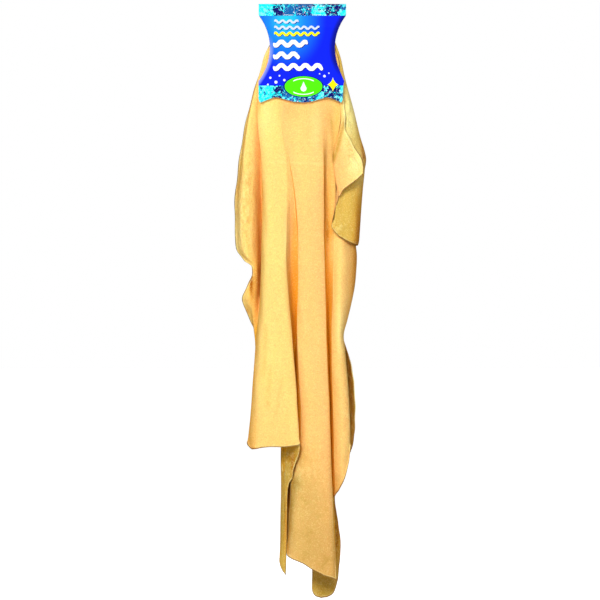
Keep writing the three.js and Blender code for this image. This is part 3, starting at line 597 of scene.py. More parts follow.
def panel_depth(height, flare):
    """How far a panel's outer face stands from the middle: level, then a straight flare."""
    reach = CARD_HEIGHT + FLARE_OVERRUN - CLAMP_DROP
    return PANEL_OUTER + flare * np.maximum(-height - CLAMP_DROP, 0) / reach


def kept_inside(points):
    """The points with their depth held between the card's panels, where the card covers them.

    The limit on either side is the panel's outer face, less the board and a little room.
    """
    height = points[..., 2]
    room = CARD_ROOM + BOARD_THICKNESS
    front, back = (room - panel_depth(height, flare) for flare in (FRONT_FLARE, BACK_FLARE))
    held = points.copy()
    held[..., 1] = np.where(height > -CARD_HEIGHT, np.clip(points[..., 1], front, -back),
                            points[..., 1])
    return held


moved = [np.abs(kept_inside(grid) - grid).max() for grid in (body, flap)]
body, flap = kept_inside(body), kept_inside(flap)
print("the card presses the skin in by at most", round(float(max(moved)), 5), "m")

# %% [markdown]
# ## The skin as one mesh
#
# The body and the flap share the right side's column of points, because they are one hide.
# The mesh is filled from whole arrays, one call for each kind of data, which is far quicker
# than adding faces one by one. The surface is given its thickness by a Solidify modifier, which
# also closes the cut edge with a rim of its own material.

# %% Make the skin
SKIN_THICKNESS = 0.001


def grid_faces(index):
    """The four-sided faces of a grid of point numbers, turned to face the viewer in front."""
    corners = index[:-1, :-1], index[1:, :-1], index[1:, 1:], index[:-1, 1:]
    return np.stack(corners, -1).reshape(-1, 4)


def add_mesh(name, points, faces):
    """A smooth-shaded mesh object at the origin, from arrays of points and four-sided faces."""
    mesh = bpy.data.meshes.new(name)
    mesh.vertices.add(len(points))
    mesh.vertices.foreach_set("co", points.astype(np.float32).ravel())
    mesh.loops.add(faces.size)
    mesh.loops.foreach_set("vertex_index", faces.astype(np.int32).ravel())
    mesh.polygons.add(len(faces))
    mesh.polygons.foreach_set("loop_start", np.arange(0, faces.size, 4, dtype=np.int32))
    mesh.polygons.foreach_set("use_smooth", np.ones(len(faces), dtype=bool))
    mesh.update()
    mesh.validate()
    piece = bpy.data.objects.new(name, mesh)
    bpy.context.collection.objects.link(piece)
    return piece


def add_thickness(piece, thickness, inner, rim):
    """A wall centred on the surface; inner and rim count on from the first material's slot."""
    solid = piece.modifiers.new("thickness", "SOLIDIFY")
    solid.thickness = thickness
    solid.offset = 0
    solid.material_offset = inner
    solid.material_offset_rim = rim


body_index = np.arange(body[..., 0].size).reshape(body.shape[:2])
flap_index = body_index.size + np.arange(flap[:, 1:, 0].size).reshape(len(flap), -1)
flap_index = np.concatenate([body_index[:UPPER_ROWS + 1, -1:], flap_index], 1)
skin_points = np.concatenate([body.reshape(-1, 3), flap[:, 1:].reshape(-1, 3)])
skin_faces = np.concatenate([grid_faces(body_index), grid_faces(flap_index)])
skin = add_mesh("chamois_leather", skin_points, skin_faces)
add_thickness(skin, SKIN_THICKNESS, 1, 2)
corners = skin_points[skin_faces]
diagonals = corners[:, 2] - corners[:, 0], corners[:, 3] - corners[:, 1]
skin_area = np.linalg.norm(np.cross(*diagonals), axis=1).sum() / 2
print("skin:", len(skin_faces), "faces,", round(float(skin_area), 3), "square metres")

# %% [markdown]
# ## Where the cloth lies in a hollow
#
# Light that falls into a valley bounces from leather to leather and comes out a richer,
# darker yellow. The lamps alone show that only in part, so the material is told how deep each
# place lies, and paints that shade into the colour there. A ray could be sent from every point,
# but a chart of the nearest cloth in small cells of X and Z says the same in a few array
# operations. It also tells which cloth lies open to the front. The reach is counted in cells.

# %% Chart the hollows
HOLLOW_CELL = 0.003
HOLLOW_REACH = 12
HOLLOW_SLOPE = 0.35
HOLLOW_PASSES = 3
COVERED_DEPTHS = (0.012, 0.024)


def depth_chart(points, side):
    """A chart of the nearest cloth in each cell, seen from one side, and each point's cell."""
    across, up = ((points[:, axis] / HOLLOW_CELL).round().astype(int) for axis in (0, 2))
    across, up = across - across.min() + HOLLOW_REACH, up - up.min()
    chart = np.full((across.max() + 1 + HOLLOW_REACH, up.max() + 1), np.inf)
    np.minimum.at(chart, (across, up), side * points[:, 1])
    return chart, (across, up)


def hollowness(points):
    """How deep each point lies behind the cloth around it, from the front or the back.

    On each hand a point lies behind the cloth by the most that it is behind a cell there, less
    the distance to that cell times a slope. Of the two hands and the two sides the least counts.
    """
    depths = []
    for side in (1, -1):
        chart, cell = depth_chart(points, side)
        for hand in (1, -1):
            nearest = np.minimum.reduce([
                np.roll(chart, hand * step, axis=0) + step * HOLLOW_CELL * HOLLOW_SLOPE
                for step in range(HOLLOW_REACH + 1)])
            depths.append(side * points[:, 1] - nearest[cell])
    return np.minimum.reduce(depths)


def facing_front(points):
    """1 where nothing lies in front of a point, fading to 0 where other cloth covers it.

    It is 1 less a smooth step of how far the point lies behind the nearest cloth of its cell.
    """
    chart, cell = depth_chart(points, 1)
    return 1 - smooth_step(points[:, 1] - chart[cell], *COVERED_DEPTHS)


def smoothed(values, index, passes):
    """Values on a grid of point numbers, each evened out with its neighbours a few times.

    Each pass takes twice the value and once its four neighbours, and divides by six.
    """
    grid = values[index]
    for _ in range(passes):
        grid = np.pad(grid, 1, mode="edge")
        grid = (grid[1:-1, 1:-1] * 2 + grid[:-2, 1:-1] + grid[2:, 1:-1]
                + grid[1:-1, :-2] + grid[1:-1, 2:]) / 6
    evened = values.copy()
    evened[index] = grid
    return evened


hollow = hollowness(skin_points)
for part in (body_index, flap_index):
    hollow = smoothed(hollow, part, HOLLOW_PASSES)
front = facing_front(skin_points)
print("deepest hollow:", round(float(hollow.max()), 3), "m")

# %% [markdown]
# ## Patches of painted light, painted shade and rumpled skin
#
# No place of a hide is quite like the next, and the light falls on each fold its own way.
# Most of these patches are painted light and painted shade: lighter where a surface faces the
# lamps, with some of the hide's own lighter tone, and greener or browner where a fold shades it,
# in the gaps and valleys, under a hem and under the card. The skin is also rumpled at its thin
# flanks. These are seen on the real skin and have no formula, so each is a soft round patch, put
# where it lies. A row says its X and Z, its reach in X and in Z, all in metres, and its strength.
# In the first table a strength below 0 makes the patch darker and mossy, as painted shade.

# %% Place the patches
# Painted light, with some of the hide's own lighter tone; a strength below 0 is painted shade.
LIGHT_AND_SHADE_PATCHES = np.array([
    [0.068, -0.2025, 0.01, 0.018, 1], [-0.0455, -0.139, 0.008, 0.026, 0.32],
    [0.017, -0.151, 0.006, 0.03, 0.25], [0.058, -0.135, 0.01, 0.04, 1.1],
    [-0.008, -0.135, 0.012, 0.012, -0.08], [0.0345, -0.1475, 0.006, 0.018, -0.3],
    [0.007, -0.6075, 0.02, 0.03, -0.18], [0.016, -0.67, 0.03, 0.05, -0.2],
    [0.047, -0.4075, 0.006, 0.03, 0.5], [-0.019, -0.295, 0.004, 0.035, 0.6],
    [-0.0085, -0.5975, 0.008, 0.012, -0.6], [-0.0125, -0.62, 0.004, 0.016, -0.5],
    [-0.015, -0.65, 0.004, 0.02, -0.4], [-0.026, -0.64, 0.003, 0.045, -0.5],
    [-0.015, -0.564, 0.014, 0.012, -0.55], [-0.079, -0.285, 0.004, 0.035, 0.5],
    [0.0283, -0.735, 0.02, 0.02, -0.6],
])
# Painted shade: in the gaps and valleys, under hems and the card, on the lobe behind the third
# fold and along the first fold's left edge.
SHADE_PATCHES = np.array([
    [0.07, -0.265, 0.006, 0.035, 0.9], [0.068, -0.31, 0.0075, 0.03, 0.9],
    [0.0655, -0.355, 0.0075, 0.03, 0.9], [0.06, -0.4, 0.005, 0.025, 0.4],
    [0.059, -0.45, 0.0055, 0.022, 0.5], [0.0345, -0.5, 0.0022, 0.03, 0.9],
    [0.0365, -0.56, 0.0022, 0.03, 1], [0.0635, -0.485, 0.0055, 0.06, 0.58],
    [0.0455, -0.14, 0.0055, 0.022, 0.6], [0.042, -0.17, 0.005, 0.02, 0.4],
    [-0.067, -0.37, 0.007, 0.025, 0.25], [0.0315, -0.235, 0.005, 0.04, 0.5],
    [0.031, -0.288, 0.005, 0.022, 0.85], [-0.009, -0.37, 0.0045, 0.04, 0.5],
    [-0.064, -0.555, 0.008, 0.0018, 1.2], [-0.0118, -0.5825, 0.0028, 0.016, 0.95],
    [-0.0155, -0.6075, 0.0036, 0.014, 1], [-0.0172, -0.624, 0.0038, 0.012, 0.95],
    [-0.0195, -0.645, 0.0036, 0.014, 0.95], [-0.0212, -0.668, 0.003, 0.012, 0.9],
    [-0.016, -0.564, 0.018, 0.01, 0.85], [-0.0815, -0.22, 0.003, 0.03, 0.9],
    [-0.06, -0.335, 0.003, 0.018, 0.5], [-0.061, -0.36, 0.004, 0.02, 0.5],
    [-0.061, -0.395, 0.0045, 0.018, 0.5], [-0.063, -0.55, 0.004, 0.012, 0.4],
    [-0.059, -0.53, 0.003, 0.04, 0.35], [-0.059, -0.44, 0.003, 0.035, 0.5],
    [-0.0628, -0.498, 0.003, 0.035, 0.5], [-0.0655, -0.535, 0.003, 0.03, 0.5],
    [0.0745, -0.178, 0.0028, 0.022, 1], [0.077, -0.197, 0.003, 0.012, 1.2],
    [-0.055, -0.29, 0.0035, 0.05, 0.75], [-0.055, -0.36, 0.0035, 0.045, 0.75],
    [-0.082, -0.312, 0.004, 0.004, 0.9], [-0.064, -0.345, 0.002, 0.018, 1.2],
    [-0.07, -0.385, 0.004, 0.006, 0.9], [-0.054, -0.127, 0.003, 0.012, 0.5],
    [0.0283, -0.73, 0.02, 0.02, 0.4], [0.043, -0.665, 0.0042, 0.032, 1.05],
])
RUMPLED_PATCHES = np.array([
    [-0.072, -0.2575, 0.012, 0.08, 1], [0.0445, -0.2825, 0.012, 0.01, 0.8],
    [0.054, -0.14, 0.006, 0.035, 1], [0.06, -0.175, 0.006, 0.02, 0.8],
    [0.062, -0.201, 0.012, 0.016, 0.6], [0.003, -0.5825, 0.022, 0.045, 0.5],
    [0.028, -0.726, 0.02, 0.012, 0.5], [-0.023, -0.5825, 0.012, 0.025, 0.7],
    [0.061, -0.49, 0.008, 0.05, 1],
])


def patched(points, patches):
    """The sum of soft patches: strength times e to minus the square of the distance in reaches."""
    total = np.zeros(len(points))
    for patch in patches:
        off = (points[:, [0, 2]] - patch[:2]) / patch[2:4]
        total += patch[4] * np.exp(-np.sum(off * off, axis=1))
    return total


print("patches:", len(LIGHT_AND_SHADE_PATCHES) + len(SHADE_PATCHES) + len(RUMPLED_PATCHES))

# %% [markdown]
# ## What each point of the leather knows
#
# Some of the finish follows the cloth: the rim is frayed and the flesh side faces inwards.
# Much of it is painted light and shade laid along the folds: a painted highlight on the outer
# edge of a tight fold, painted shade on a fold's flank and in the patches of shade. So each point
# of the mesh carries these as numbers, and the material reads them by name.

# %% Give the leather its numbers
# The flesh side turns outwards between these two lines.
FLESH_LINES = (19, 20)
# Line, and how buff the cloth is there: partly the hide's own pinker tone, partly painted shade
# by the valleys and on flanks that face away from the light.
BUFF_AND_SHADE_SHARES = [
    [0, 0], [1, 0], [2, 0.15], [3, 0.8], [4, 0.7], [4.6, 0], [6, 0.05], [7, 0.3], [9, 1],
    [10, 0.9], [11, 0.6], [12, 0.9], [13, 0.9], [15, 0.25], [16, 0.4], [17, 0.6], [25, 0.4],
    [27, 1], [28, 0.6], [29, 0],
]
# Where the painted highlight on fold crests goes: its width in shares of a line's span, and the
# drops in metres over which it comes in.
HIGHLIGHT_WIDTH_SHARE = 0.12
HIGHLIGHT_DROPS = (0.24, 0.36)


def on_skin(body_values, flap_values=0):
    """Values on the two grids as one row. The flap's first column belongs to the body."""
    body_part = np.broadcast_to(body_values, body.shape[:2])
    flap_part = np.broadcast_to(flap_values, flap.shape[:2])[:, 1:]
    return np.concatenate([body_part.ravel(), flap_part.ravel()])


def crest_highlight_values(across):
    """Where the painted highlight goes: 1 on the outer edge of each creased fold, fading to 0 a
    short way to both sides.

    It is 1 less the way to the nearest creased line over the width of a crest, both counted in
    shares of the way from line to line.
    """
    crests = [line_names.index(name) for name in CREASE_SHARES]
    nearest = np.min(np.abs(across[:, None] - crests), axis=1)
    return np.clip(1 - nearest / HIGHLIGHT_WIDTH_SHARE, 0, 1)


body_across = sum(columns(0, BODY_STEPS))
flap_across = sum(columns(len(BODY_STEPS), FLAP_STEPS))
values = {
    "edge": on_skin(body_edge, flap_edge),
    "hollow": hollow,
    "flesh": on_skin(smooth_step(body_across, *FLESH_LINES)),
    "buff": on_skin(*(np.interp(across, *np.array(BUFF_AND_SHADE_SHARES).T)
                      for across in (body_across, flap_across))),
    # The next four mark where painted shade and painted light go: flanks turned from the front,
    # fold crests, and the two tables of patches, which count only on cloth open to the front.
    "turned": on_skin(*(1 - np.abs(normals_of(grid)[..., 1]) for grid in (body, flap))),
    "crest": on_skin(crest_highlight_values(body_across) * smooth_step(-body[..., 2], *HIGHLIGHT_DROPS)),
    "painted_light_and_shade": patched(skin_points, LIGHT_AND_SHADE_PATCHES) * front,
    "painted_shade": patched(skin_points, SHADE_PATCHES) * front,
    "rumple": patched(skin_points, RUMPLED_PATCHES),
}
for name, numbers in values.items():
    layer = skin.data.attributes.new(name, "FLOAT", "POINT")
    layer.data.foreach_set("value", numbers.astype(np.float32))
print("each point knows its", ", ".join(values))

# %% [markdown]
# ## Fields: numbers that vary over a surface
#
# A material is made of numbers that vary over the surface: how worn, how deep, how far from a
# line. In Blender each sum or product of them is a node. Wiring dozens of nodes by hand hides
# what they say, so a small class lets them be written as arithmetic, and each operation still
# adds one ordinary node.

# %% Fields
class Field:
    """A number that varies over a surface. Arithmetic on it adds math nodes."""

    def __init__(self, recipe, socket):
        self.recipe = recipe
        self.socket = socket

    def math(self, operation, *others):
        node = self.recipe.add("ShaderNodeMath", operation=operation)
        for slot, value in zip(node.inputs, (self, *others)):
            self.recipe.feed(slot, value)
        return Field(self.recipe, node.outputs[0])

    def __add__(self, other):
        return self.math("ADD", other)

    def __sub__(self, other):
        return self.math("SUBTRACT", other)

    def __mul__(self, other):
        return self.math("MULTIPLY", other)

    def __truediv__(self, other):
        return self.math("DIVIDE", other)

    def most(self, other):
        return self.math("MAXIMUM", other)

    def size(self):
        return self.math("ABSOLUTE")

    def sine(self):
        return self.math("SINE")

    def root(self):
        return self.math("SQRT")

    def rise(self, low, high):
        """0 at low and 1 at high by a smooth step; from 1 down to 0 where low is the greater."""
        node = self.recipe.add("ShaderNodeMapRange", interpolation_type="SMOOTHSTEP")
        self.recipe.feed(node.inputs["Value"], self)
        node.inputs["From Min"].default_value = min(low, high)
        node.inputs["From Max"].default_value = max(low, high)
        node.inputs["To Min"].default_value = 0 if low < high else 1
        node.inputs["To Max"].default_value = 1 if low < high else 0
        return Field(self.recipe, node.outputs["Result"])


def root_sum(first, second):
    """The root of the sum of two fields' squares."""
    return (first * first + second * second).root()


print("arithmetic on a field adds nodes:", [name for name in vars(Field) if name[0] != "_"])

# %% [markdown]
# ## Recipes: materials that are written down
#
# A recipe starts from Object coordinates in metres, so that a noise of 2 mm is 2 mm on every
# piece. Its colours are given as they look on a screen and made linear on the way in. Its
# layers of colour lie one over another, and its bumps pile up in the same way. What is the same
# all over, such as the roughness, is set on the shader's own sockets.

# %% Recipes
class Recipe:
    """A material being written, with Object coordinates in metres as its starting point."""

    def __init__(self, name):
        self.material = bpy.data.materials.new(name)
        self.material.use_nodes = True
        self.nodes = self.material.node_tree.nodes
        self.links = self.material.node_tree.links
        self.shader = self.nodes["Principled BSDF"]
        self.coordinates = self.add("ShaderNodeTexCoord").outputs["Object"]
        self.height = None

    def add(self, kind, **settings):
        node = self.nodes.new(kind)
        for setting, value in settings.items():
            setattr(node, setting, value)
        return node

    def feed(self, slot, value):
        """Sets a socket to a constant, or links a field or another node's output to it."""
        if isinstance(value, Field):
            self.links.new(value.socket, slot)
        elif isinstance(value, bpy.types.NodeSocket):
            self.links.new(value, slot)
        else:
            slot.default_value = value

    def axes(self):
        """X, Y and Z as three fields."""
        parts = self.add("ShaderNodeSeparateXYZ")
        self.feed(parts.inputs[0], self.coordinates)
        return [Field(self, output) for output in parts.outputs]

    def attribute(self, name):
        """One of the numbers that each point of the mesh carries."""
        return Field(self, self.add("ShaderNodeAttribute", attribute_name=name).outputs["Fac"])

    def noise(self, size, detail=3, rough=0.5, stretch=(1, 1, 1)):
        """Cloudy noise from 0 to 1 whose patches are about the given size across.

        The coordinates are first multiplied by the stretch, so a factor below 1 draws the
        patches out along its axis.
        """
        place = self.add("ShaderNodeMapping")
        self.feed(place.inputs["Vector"], self.coordinates)
        place.inputs["Scale"].default_value = stretch
        node = self.add("ShaderNodeTexNoise")
        self.feed(node.inputs["Vector"], place.outputs["Vector"])
        node.inputs["Scale"].default_value = 1 / size
        node.inputs["Detail"].default_value = detail
        node.inputs["Roughness"].default_value = rough
        return Field(self, node.outputs["Fac"])

    def cells(self, size):
        """The distance to the middle of the nearest of many cells of about the given size."""
        node = self.add("ShaderNodeTexVoronoi")
        self.feed(node.inputs["Vector"], self.coordinates)
        node.inputs["Scale"].default_value = 1 / size
        return Field(self, node.outputs["Distance"])

    def colour(self, value):
        """A colour given as sRGB shares, as the linear RGBA that a node wants.

        Up to 0.04045 a share is divided by 12.92. Above that, 0.055 is added to it, the sum is
        divided by 1.055, and the result is raised to the power 2.4.
        """
        low = [share / 12.92 for share in value]
        high = [((share + 0.055) / 1.055) ** 2.4 for share in value]
        return (*(b if v > 0.04045 else a for v, a, b in zip(value, low, high)), 1)

    def mix(self, share, first, second):
        """first where the share is 0 and second where it is 1. Tuples are sRGB colours."""
        node = self.add("ShaderNodeMix", data_type="RGBA")
        self.feed(node.inputs["Factor"], share)
        for slot, value in zip((node.inputs[6], node.inputs[7]), (first, second)):
            self.feed(slot, self.colour(value) if isinstance(value, tuple) else value)
        return node.outputs[2]

    def layered(self, colour, *layers):
        """A colour with others laid over it in turn. Each layer is a share and a tint."""
        for share, tint in layers:
            colour = self.mix(share, colour, tint)
        return colour

    def bump(self, field, height):
        """Raises the surface by the field times a height in metres, on top of earlier bumps."""
        node = self.add("ShaderNodeBump")
        node.inputs["Strength"].default_value = 1
        node.inputs["Distance"].default_value = height
        self.feed(node.inputs["Height"], field)
        if self.height is not None:
            self.feed(node.inputs["Normal"], self.height)
        self.height = node.outputs["Normal"]

    def finish(self, colour, **fixed):
        """Joins colour and bump to the shader and sets the rest on the shader's own sockets."""
        self.feed(self.shader.inputs["Base Color"],
                  self.colour(colour) if isinstance(colour, tuple) else colour)
        if self.height is not None:
            self.feed(self.shader.inputs["Normal"], self.height)
        for name, value in fixed.items():
            socket = name.replace("_", " ").title().replace("Ior", "IOR")
            self.shader.inputs[socket].default_value = value
        return self.material


print("a recipe can take", [name for name in vars(Recipe) if name[0] != "_"])

# %% [markdown]
# ## The colour of the hide
#
# Oil tanning leaves a dense, open surface that is dull from every side. Its colour drifts
# between straw yellow and a pinker buff over a hand's breadth, with small cloudy patches.
# Coarse fibres show as darker flecks, mostly where the skin was handled near its edges.
# Towards the hem it is painted browner and duller, as shade where less light reaches, and its
# flesh side is olive, partly its own colour and partly painted shade on the layers that hang
# behind. A painted image could carry all this, but layers of noise have no seams, and each can
# be named and changed by itself.

# %% Colour of the hide
STRAW = (0.98, 0.85, 0.48)
BUFF = (0.97, 0.695, 0.42)
FLECK = (0.86, 0.62, 0.30)
# Painted shade: browner and duller towards the hem, where less light reaches, and an olive that is
# partly the flesh side's own colour and partly painted shade on the layers behind.
LOW_SHADE = (0.78, 0.64, 0.34)
FLESH_SIDE_AND_SHADE = (0.83, 0.68, 0.31)
DRIFT_SIZE = 0.05
CLOUD_SIZE = 0.006
GRAIN_SIZE = 0.0018
FLECK_SIZE = 0.0016
HANDLED_REACH = (0.03, 0.004)
# Between these heights the painted shade towards the hem and the olive mottle come in.
LOW_SHADE_AND_MOTTLE_HEIGHTS = (-0.52, -0.70)


def hide_colour(recipe, height, flesh):
    """Straw mixed with buff, then flecked, browned towards the hem by painted shade, and olive on
    the flesh side, partly painted shade.

    The share of buff is a weighted sum of the fold's own value, which is partly painted shade, a
    slow drift, clouds and grain.
    """
    drift = recipe.noise(DRIFT_SIZE, detail=3, stretch=(1, 1, 0.3)).rise(0.35, 0.65)
    cloud = recipe.noise(CLOUD_SIZE, detail=5, rough=0.7).rise(0.3, 0.7)
    grain = recipe.noise(GRAIN_SIZE, detail=3, rough=0.8).rise(0.3, 0.7)
    fleck = recipe.noise(FLECK_SIZE, detail=2, rough=0.7).rise(0.62, 0.74)
    handled = recipe.attribute("edge").rise(*HANDLED_REACH)
    buff = recipe.attribute("buff") * 0.55 + drift * 0.2 + cloud * 0.2 + grain * 0.25
    return recipe.layered(
        recipe.mix(buff, STRAW, BUFF), (fleck * (handled * 0.35 + 0.15), FLECK),
        (height.rise(*LOW_SHADE_AND_MOTTLE_HEIGHTS) * 0.5, LOW_SHADE), (flesh, FLESH_SIDE_AND_SHADE))


print("from straw", STRAW, "to buff", BUFF)

# %% [markdown]
# ## Painted shade on flanks and hollows, a painted highlight on crests
#
# The flanks of the folds and the hollows between them show a richer, darker yellow, because
# less light reaches them and what does has touched leather before. The outer edges of the
# tight folds catch a thin line of light. More bounces in the renderer would give the hollows a
# little of this, and nothing in it gives a crest its line. So this shade and this highlight are
# painted into the colour, laid on by the numbers that the points carry.

# %% Colour of the folds
# Painted shade: on flanks turned from the front, in the valleys, and mossy or brown in the shade
# patches. The pale colour is a painted highlight on crests, in the light patches and on standing
# creases and wrinkles, and the hide's own lighter tone in the speckle.
TURNED_SHADE = (0.86, 0.56, 0.035)
HOLLOW_SHADE = (0.95, 0.67, 0.12)
PALE_TONE_AND_HIGHLIGHT = (1.0, 0.94, 0.62)
MOSS_SHADE = (0.50, 0.43, 0.07)
SHADED = (0.58, 0.24, 0.015)
HOLLOW_DEPTHS = (0.001, 0.012)
HOLLOW_HEIGHTS = (-0.17, -0.43)


def fold_colour(recipe, height, colour):
    """Painted shade laid over a colour where the cloth turns from the front, lies hollow or has a
    shade patch, and painted light in the light patches and on the crests.

    A shade patch above 0.6 counts twice: once as a flank turned away, and by what it has above
    0.6 as full painted shade.
    """
    painted_shade, painted_light_and_shade = recipe.attribute("painted_shade"), recipe.attribute("painted_light_and_shade")
    turned = recipe.attribute("turned").rise(0.3, 0.9).most(painted_shade)
    hollow = recipe.attribute("hollow").rise(*HOLLOW_DEPTHS) * height.rise(*HOLLOW_HEIGHTS)
    return recipe.layered(
        colour, (turned * 0.75, TURNED_SHADE), (hollow, HOLLOW_SHADE), (painted_light_and_shade.most(0) * 0.8, PALE_TONE_AND_HIGHLIGHT),
        ((painted_light_and_shade * -1).most(0) * 0.8, MOSS_SHADE), ((painted_shade - 0.6).most(0), SHADED),
        (recipe.attribute("crest") * 0.5, PALE_TONE_AND_HIGHLIGHT))


print("from pale", PALE_TONE_AND_HIGHLIGHT, "to shaded", SHADED)

# %% [markdown]
# ## The cut edge
#
# Shears leave a dark, compressed edge, and the dark line is also painted shade where the edge's
# thickness turns from the light. Where the skin was handled and rumpled the edge has frayed, and
# a pale rim of loose fibres stands just inside it; the rim is also a painted highlight where the
# edge catches the light. Single hairs would need thousands of curves for something less than a
# pixel wide, so both are bands of colour that follow each point's distance from the edge, broken
# up by noise.

# %% Colour of the cut edge
# Pale fibres and a painted highlight along the rim; a dark cut that is also painted shade.
PALE_RIM_AND_HIGHLIGHT = (1.0, 0.95, 0.66)
DARK_CUT_AND_SHADE = (0.42, 0.26, 0.10)
RIM_INSIDE = (0.0032, 0.0020)
RIM_OUTSIDE = (0.0004, 0.0010)
CUT_REACH = (0.0014, 0.0006)
WORN_SIZE = 0.005
EDGE_FIBRE_SIZE = 0.0008
EDGE_FIBRE_RISE = 0.0002


def edge_colour(recipe, rumple, colour):
    """A pale rim between two distances from the edge, partly painted highlight, and the dark cut
    where it isn't frayed, partly painted shade.
    """
    edge = recipe.attribute("edge")
    rim = edge.rise(*RIM_INSIDE) * edge.rise(*RIM_OUTSIDE)
    worn = recipe.noise(WORN_SIZE, detail=3).rise(0.3, 0.55)
    cut = edge.rise(*CUT_REACH) * rumple.rise(1, 0.2)
    return recipe.layered(
        colour, (rim * worn * (rumple * 0.6 + 0.15), PALE_RIM_AND_HIGHLIGHT), (cut * 0.8, DARK_CUT_AND_SHADE))


def cut_edge():
    """The skin's own thickness: dark fibres, which are partly painted shade, and pale ones where
    the edge is frayed.
    """
    recipe = Recipe("chamois_cut_edge")
    fibre = recipe.noise(EDGE_FIBRE_SIZE, detail=3, rough=0.7)
    recipe.bump(fibre, EDGE_FIBRE_RISE)
    frayed = recipe.attribute("rumple").rise(0.2, 0.7)
    return recipe.finish(recipe.mix(frayed, recipe.mix(fibre, DARK_CUT_AND_SHADE, FLECK), PALE_RIM_AND_HIGHLIGHT), roughness=0.95)


print("rim within", RIM_INSIDE[0], "m of the edge")

# %% [markdown]
# ## Creases, wrinkles and speckle
#
# A few creases of the real skin are long enough to see: some stand up and catch the light, some
# sink in. Each is a straight line between two places, drawn into the material as a small relief
# and bent a little by noise, and its colour is painted light and shade: a painted highlight where
# it stands, olive painted shade where it sinks. That costs no faces and stays sharp, where a mesh
# fine enough for it would be far too heavy. The small wrinkles and the speckle have no places of
# their own, so they are noise; the wrinkles also get a painted highlight on their tops and
# painted shade in their beds.

# %% Creases and wrinkles
# The olive is the hide's own tone in the speckle and mottle, and painted shade in sunken creases
# and wrinkle beds.
OLIVE_TONE_AND_SHADE = (0.72, 0.56, 0.21)
# From X and Z, to X and Z, width, and lift. A lift below 0 sinks and is painted olive shade;
# above 0 it stands and gets a painted highlight.
FINE_CREASES = (
    (-0.033, -0.1975, 0.029, -0.2012, 0.0030, 0.7),
    (-0.028, -0.1900, 0.024, -0.1925, 0.0025, 0.3),
    (0.051, -0.1500, 0.041, -0.1900, 0.0045, -1.0),
    (0.037, -0.1480, 0.039, -0.1950, 0.0030, -0.6),
    (-0.0455, -0.4080, -0.048, -0.4600, 0.0050, -0.28),
    (-0.0405, -0.4600, -0.043, -0.4980, 0.0050, -0.28),
    (-0.0250, -0.4700, -0.032, -0.5060, 0.0040, -0.22),
    (0.0395, -0.4315, 0.0545, -0.4350, 0.0018, 0.8),
)
CREASE_TAPER = 0.1
CREASE_DRIFT = 0.004
CREASE_DRIFT_SIZE = 0.02
SPECKLE_SIZE = 0.0014
MOTTLE_SIZE = 0.018


def drawn_line(x, z, start_x, start_z, end_x, end_z, width):
    """1 on a straight line between two places, fading to 0 at its width.

    The distance is the root of two squares: the way off the line, and a share of the way past
    its end. So the line tapers out beyond its ends.
    """
    length = math.hypot(end_x - start_x, end_z - start_z)
    way_x, way_z = (end_x - start_x) / length, (end_z - start_z) / length
    off_x, off_z = x - start_x, z - start_z
    along = off_x * way_x + off_z * way_z
    beside = off_x * way_z - off_z * way_x
    beyond = (along - length).most(along * -1).most(0)
    return (beside * beside + beyond * beyond * CREASE_TAPER).root().rise(width, 0)


def crease_lines(recipe, x, z):
    """The sum of the fine creases, each times its lift, on places that noise has shifted."""
    drift = recipe.noise(CREASE_DRIFT_SIZE, detail=2) * CREASE_DRIFT - CREASE_DRIFT / 2
    x, z = x + drift, z + drift
    lines = [drawn_line(x, z, *crease) * lift for *crease, lift in FINE_CREASES]
    return sum(lines[1:], lines[0])


def worn_colour(recipe, height, lines, wrinkle, rumple, colour):
    """Painted olive shade where creases and wrinkles sink and a painted highlight where they
    stand, then speckle and mottle.
    """
    speckle = recipe.noise(SPECKLE_SIZE, detail=2, rough=0.6)
    mottle = recipe.noise(MOTTLE_SIZE, detail=4, rough=0.6).rise(0.5, 0.7)
    return recipe.layered(
        colour, ((lines * -1).most(0) * 0.7, OLIVE_TONE_AND_SHADE), (lines.most(0) * 0.18, PALE_TONE_AND_HIGHLIGHT),
        (wrinkle.rise(0.52, 0.62) * rumple * 0.35, PALE_TONE_AND_HIGHLIGHT),
        (wrinkle.rise(0.48, 0.38) * rumple * 0.25, OLIVE_TONE_AND_SHADE),
        (speckle.rise(0.5, 0.75) * 0.35, PALE_TONE_AND_HIGHLIGHT), (speckle.rise(0.5, 0.25) * 0.30, OLIVE_TONE_AND_SHADE),
        (mottle * height.rise(*LOW_SHADE_AND_MOTTLE_HEIGHTS) * 0.45, OLIVE_TONE_AND_SHADE))


print("fine creases:", len(FINE_CREASES))

# %% [markdown]
# ## The leather as a whole
#
# The finish of the skin is the four colourings one over another and five reliefs: shallow
# creases, the wrinkles of the rumpled places, the drawn creases, the pebbled layer and the nap.
# Leather like this has next to no shine, and a little light goes under its surface. The flesh
# side is the same recipe with its olive tint all over, partly its own colour and partly painted
# shade.

# %% Leather
WRINKLE_SIZE = 0.0055
FOLD_SIZE = 0.008
PEBBLE_SIZE = 0.0022
NAP_SIZE = 0.0006
FOLD_RISE = 0.0006
WRINKLE_RISE = 0.004
CREASE_RISE = 0.0004
PEBBLE_RISE = 0.00012
NAP_RISE = 0.00018
LIGHT_DEPTH = 0.003


